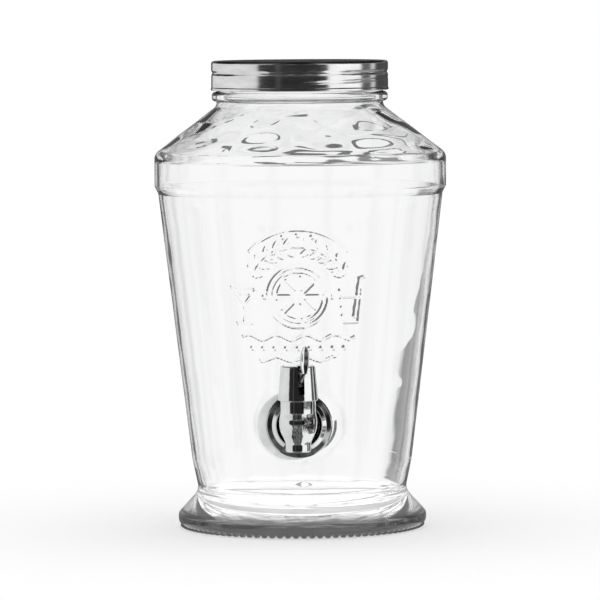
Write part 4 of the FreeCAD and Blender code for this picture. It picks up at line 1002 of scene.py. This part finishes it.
def draw_in(points):
    """Points near the upright axis come 0.9 mm nearer to it, from the spout's edge up."""
    x, y, z = points.T
    out = np.hypot(x, y - TAP_AXIS_Y)
    hold = ease((out - 7.0) / 0.8) * ease((12.6 - out) / 0.2) * ease((z - 63) / 0.5 + 0.5)
    scale = 1 - 0.9 * hold * (y < -101) / np.maximum(out, 1)
    return np.stack([x * scale, TAP_AXIS_Y + (y - TAP_AXIS_Y) * scale, z], 1)


give(drawn_copy("tap_body", "tap_core", draw_in), chrome, "jar", "tap_body")

# %% [markdown]
# The tap's front is a barrel over a ball over a spout, all round one upright axis. The neck
# between barrel and ball is a small hollow, which chrome shows as a line. Its outline is given
# at a few heights and smoothed with a short bell of weights, so that no edge is sharp.

# %% Tap front
SPOUT_RADIUS = 8.35
OUTLINE_HEIGHTS = [63.1, 67.4, 70.6, 73.6, 77.0, 80.4, 83.0, 85.0, 87.6, 90.0, 95.3]
OUTLINE_RADII = [SPOUT_RADIUS, SPOUT_RADIUS, 9.7, 11.3, 12.25, 12.6, 12.5, 12.1, 11.6, 11.6, 11.62]

spout_rows = rounded([(5.5, 66.0), (5.5, 61.5, 0.3), (7.9, 61.4, 0.6), (SPOUT_RADIUS, 62.2, 0.6),
                      (SPOUT_RADIUS, 62.8)], 0.5, 7)
side_z = np.arange(63.1, 95.3, 0.35)
bell = np.hanning(11) / np.hanning(11).sum()
side_r = np.interp(side_z, OUTLINE_HEIGHTS, OUTLINE_RADII)
side_r = np.convolve(np.pad(side_r, 5, mode="edge"), bell, "valid")
back_rows = rounded([(11.62, 95.35), (10.9, 95.35), (10.7, 80), (9.0, 70.5), (7.2, 67)], 0.5, 7)
front_rows = np.concatenate([spout_rows, np.stack([side_r, side_z], 1), back_rows[:-1]])
front_r, front_z = front_rows[:, :1], front_rows[:, 1:]
a = round_turn(112)
front_grid = np.stack(np.broadcast_arrays(
    front_r * np.cos(a), TAP_AXIS_Y + front_r * np.sin(a), front_z), -1)
tap_front = mesh_of("tap_front", *ring_skin(front_grid))


def painted_reflection_front_finish():
    """Chrome with a painted reflection: a mottled dark tone where the right side of the front
    mirrors the tap's own dark parts, between two bearings about the upright axis, on the barrel
    and on the ball."""
    material, tree, shader, tone = finish_of("front_chrome_painted_reflection", CHROME_TONES, 1.0, (0.025, 0.07),
                                             120.0)
    place = object_place(tree)
    x, y, z = split(tree, place)
    bearing = bearing_of(tree, x, math_node(tree, "SUBTRACT", TAP_AXIS_Y * MM, y))
    mottle = noise_node(tree, place, 900.0, 2.0)
    uneven = math_node(tree, "MULTIPLY_ADD", mottle, 0.02, bearing)
    side = ramp_node(tree, uneven, (0.545, 0.0), (0.553, 1.0), (0.655, 1.0), (0.668, 0.0))
    levels = ramp_node(tree, math_node(tree, "MULTIPLY", z, 10.0), (0.745, 0.0), (0.78, 1.0),
                       (0.845, 1.0), (0.855, 0.0), (0.895, 0.0), (0.91, 0.9))
    # painted reflection: the dark, mottled tone laid on the masked side
    dark = ramp_node(tree, mottle, (0.4, 0.03), (0.62, 0.3))
    painted_reflection_mask = math_node(tree, "MULTIPLY", side, levels)
    feed(tree, shader.inputs["Base Color"], mix_node(tree, painted_reflection_mask, tone, dark))
    return material


give(tap_front, painted_reflection_front_finish(), "jar")

# %% [markdown]
# The lever is turned a little, so its points are worked out across and ahead of its blade. The
# model's plain blade is narrowed and thinned, to lie inside the petal drawn round it.

# %% Lever core
LEVER_TURN = np.radians(12.0)
PETAL_SHIFT = 1.7


def from_blade(across, ahead, z):
    """x and y from across the blade and ahead of it, turned about the tap's upright axis."""
    c, s = np.cos(LEVER_TURN), np.sin(LEVER_TURN)
    return np.stack(np.broadcast_arrays(
        across * c + ahead * s, TAP_AXIS_Y + across * s - ahead * c, z), -1)


def tuck(points):
    """The blade of the core is narrowed, thinned and moved across, to lie inside the petal."""
    x, y, z = points.T
    c, s = np.cos(LEVER_TURN), np.sin(LEVER_TURN)
    across = x * c + (y - TAP_AXIS_Y) * s
    ahead = x * s - (y - TAP_AXIS_Y) * c
    share = ease((z - 112.0) / 2.2) * (ahead > 12.0)
    across = across * (1 - 0.45 * share) + PETAL_SHIFT * share
    ahead = ahead + (12.5 + (ahead - 12.3) * 0.5 - ahead) * share
    return from_blade(across, ahead, z - 1.2 * ease((z - 124) / 8))


# the core's chrome is darkened as painted shade
give(drawn_copy("lever", "lever_core", tuck), chrome_in_painted_shade, "lever", "lever")

# %% [markdown]
# The lever ends in a petal that stands in front of the bonnet. Its face is hollowed like a
# spoon, off its middle: the left side slopes towards the window and shines, the right side
# looks at the dark room. It is a closed skin of stacked loops, each with a hollowed front and
# a gently bowed back. Above its widest loop it closes as sqrt(1 - t^2.4), fuller than a circle.

# %% Lever petal
FOOT_Z, WIDEST_Z, TIP_Z = 113.4, 122.6, 132.0
FOOT_WIDTH, PETAL_WIDTH = 1.45, 3.1                          # half widths
FRONT_POINTS, BACK_POINTS = 25, 11

loop_z = FOOT_Z + (TIP_Z - FOOT_Z) * (1 - np.cos(np.pi * np.linspace(0, 1, 46))) / 2
below = np.clip((loop_z - FOOT_Z) / (WIDEST_Z - FOOT_Z), 0, 1)
above = np.clip((loop_z - WIDEST_Z) / (TIP_Z - WIDEST_Z), 0, 1)
half_width = np.where(
    loop_z < WIDEST_Z, FOOT_WIDTH + (PETAL_WIDTH - FOOT_WIDTH) * np.sin(below * np.pi / 2) ** 1.2,
    PETAL_WIDTH * np.sqrt(np.clip(1 - above ** 2.4, 0.0004, 1)))
half_width = (half_width * np.sqrt(np.clip((loop_z - FOOT_Z) / 0.5, 0.01, 1)))[:, None]
rise = ((loop_z - FOOT_Z) / (TIP_Z - FOOT_Z))[:, None]
back = 12.35 + 3.2 * rise ** 2
thick = 2.1 - 0.8 * rise
front_u = np.linspace(-1, 1, FRONT_POINTS)
back_u = np.linspace(1, -1, BACK_POINTS + 2)[1:-1]
face = np.interp(front_u, [-1, -0.93, -0.82, -0.35, -0.15, 0.9, 0.96, 1],
                 [-0.75, -0.12, 0.0, -0.55, -0.62, -0.38, -0.40, -1.15])
face = np.convolve(np.pad(face, 1, mode="edge"), [0.2, 0.6, 0.2], "valid")
bow = -0.15 * (1 - back_u ** 2)
scale = half_width / PETAL_WIDTH
ahead = np.concatenate([back + thick + 0.72 + scale * face,
                        back + scale * bow + 0.3 * (1 - scale)], 1)
across = half_width * np.concatenate([front_u, back_u]) + PETAL_SHIFT
petal_grid = from_blade(across, ahead, loop_z[:, None])
petal = mesh_of("lever_petal", *closed_skin(petal_grid[:, ::-1]))
give(petal, chrome, "lever")

# %% [markdown]
# The valve's spring stands on the washer of the stem and is held down by the washer under the
# gland, and its coils close up when the stem rises. Here the spring is a merged copy of the
# model's that rides on the stem, with a mesh of its own.

# %% Valve spring
spring = drawn_copy("stem_spring", "valve_spring")
give(spring, steel, "stem", "stem_spring")
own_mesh(spring)

# %% [markdown]
# What is left keeps the form of the CAD model and only gets its finish: bonnet and cap are
# chromed, the stem, pin and washers are steel, the seals are dark rubber, the inner gasket
# and the lid's liner are silicone, and the nut inside the jar is nylon.

# %% Finishes for the parts that keep their form
kept_nodes = {
    "bonnet": chrome, "bonnet_cap": chrome, "stem": steel, "spring_washer": steel,
    "lever_pin": steel, "inner_washer": steel, "gland_washer": steel, "bonnet_seal": rubber,
    "gland_ring": rubber, "seat_plug": rubber, "inner_gasket": silicone,
    "lid_liner": silicone, "shank_nut": nylon}
for name, finish in kept_nodes.items():
    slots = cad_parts[name].data.materials
    slots.clear()
    slots.append(finish)
print(len(kept_nodes), "nodes keep their form")
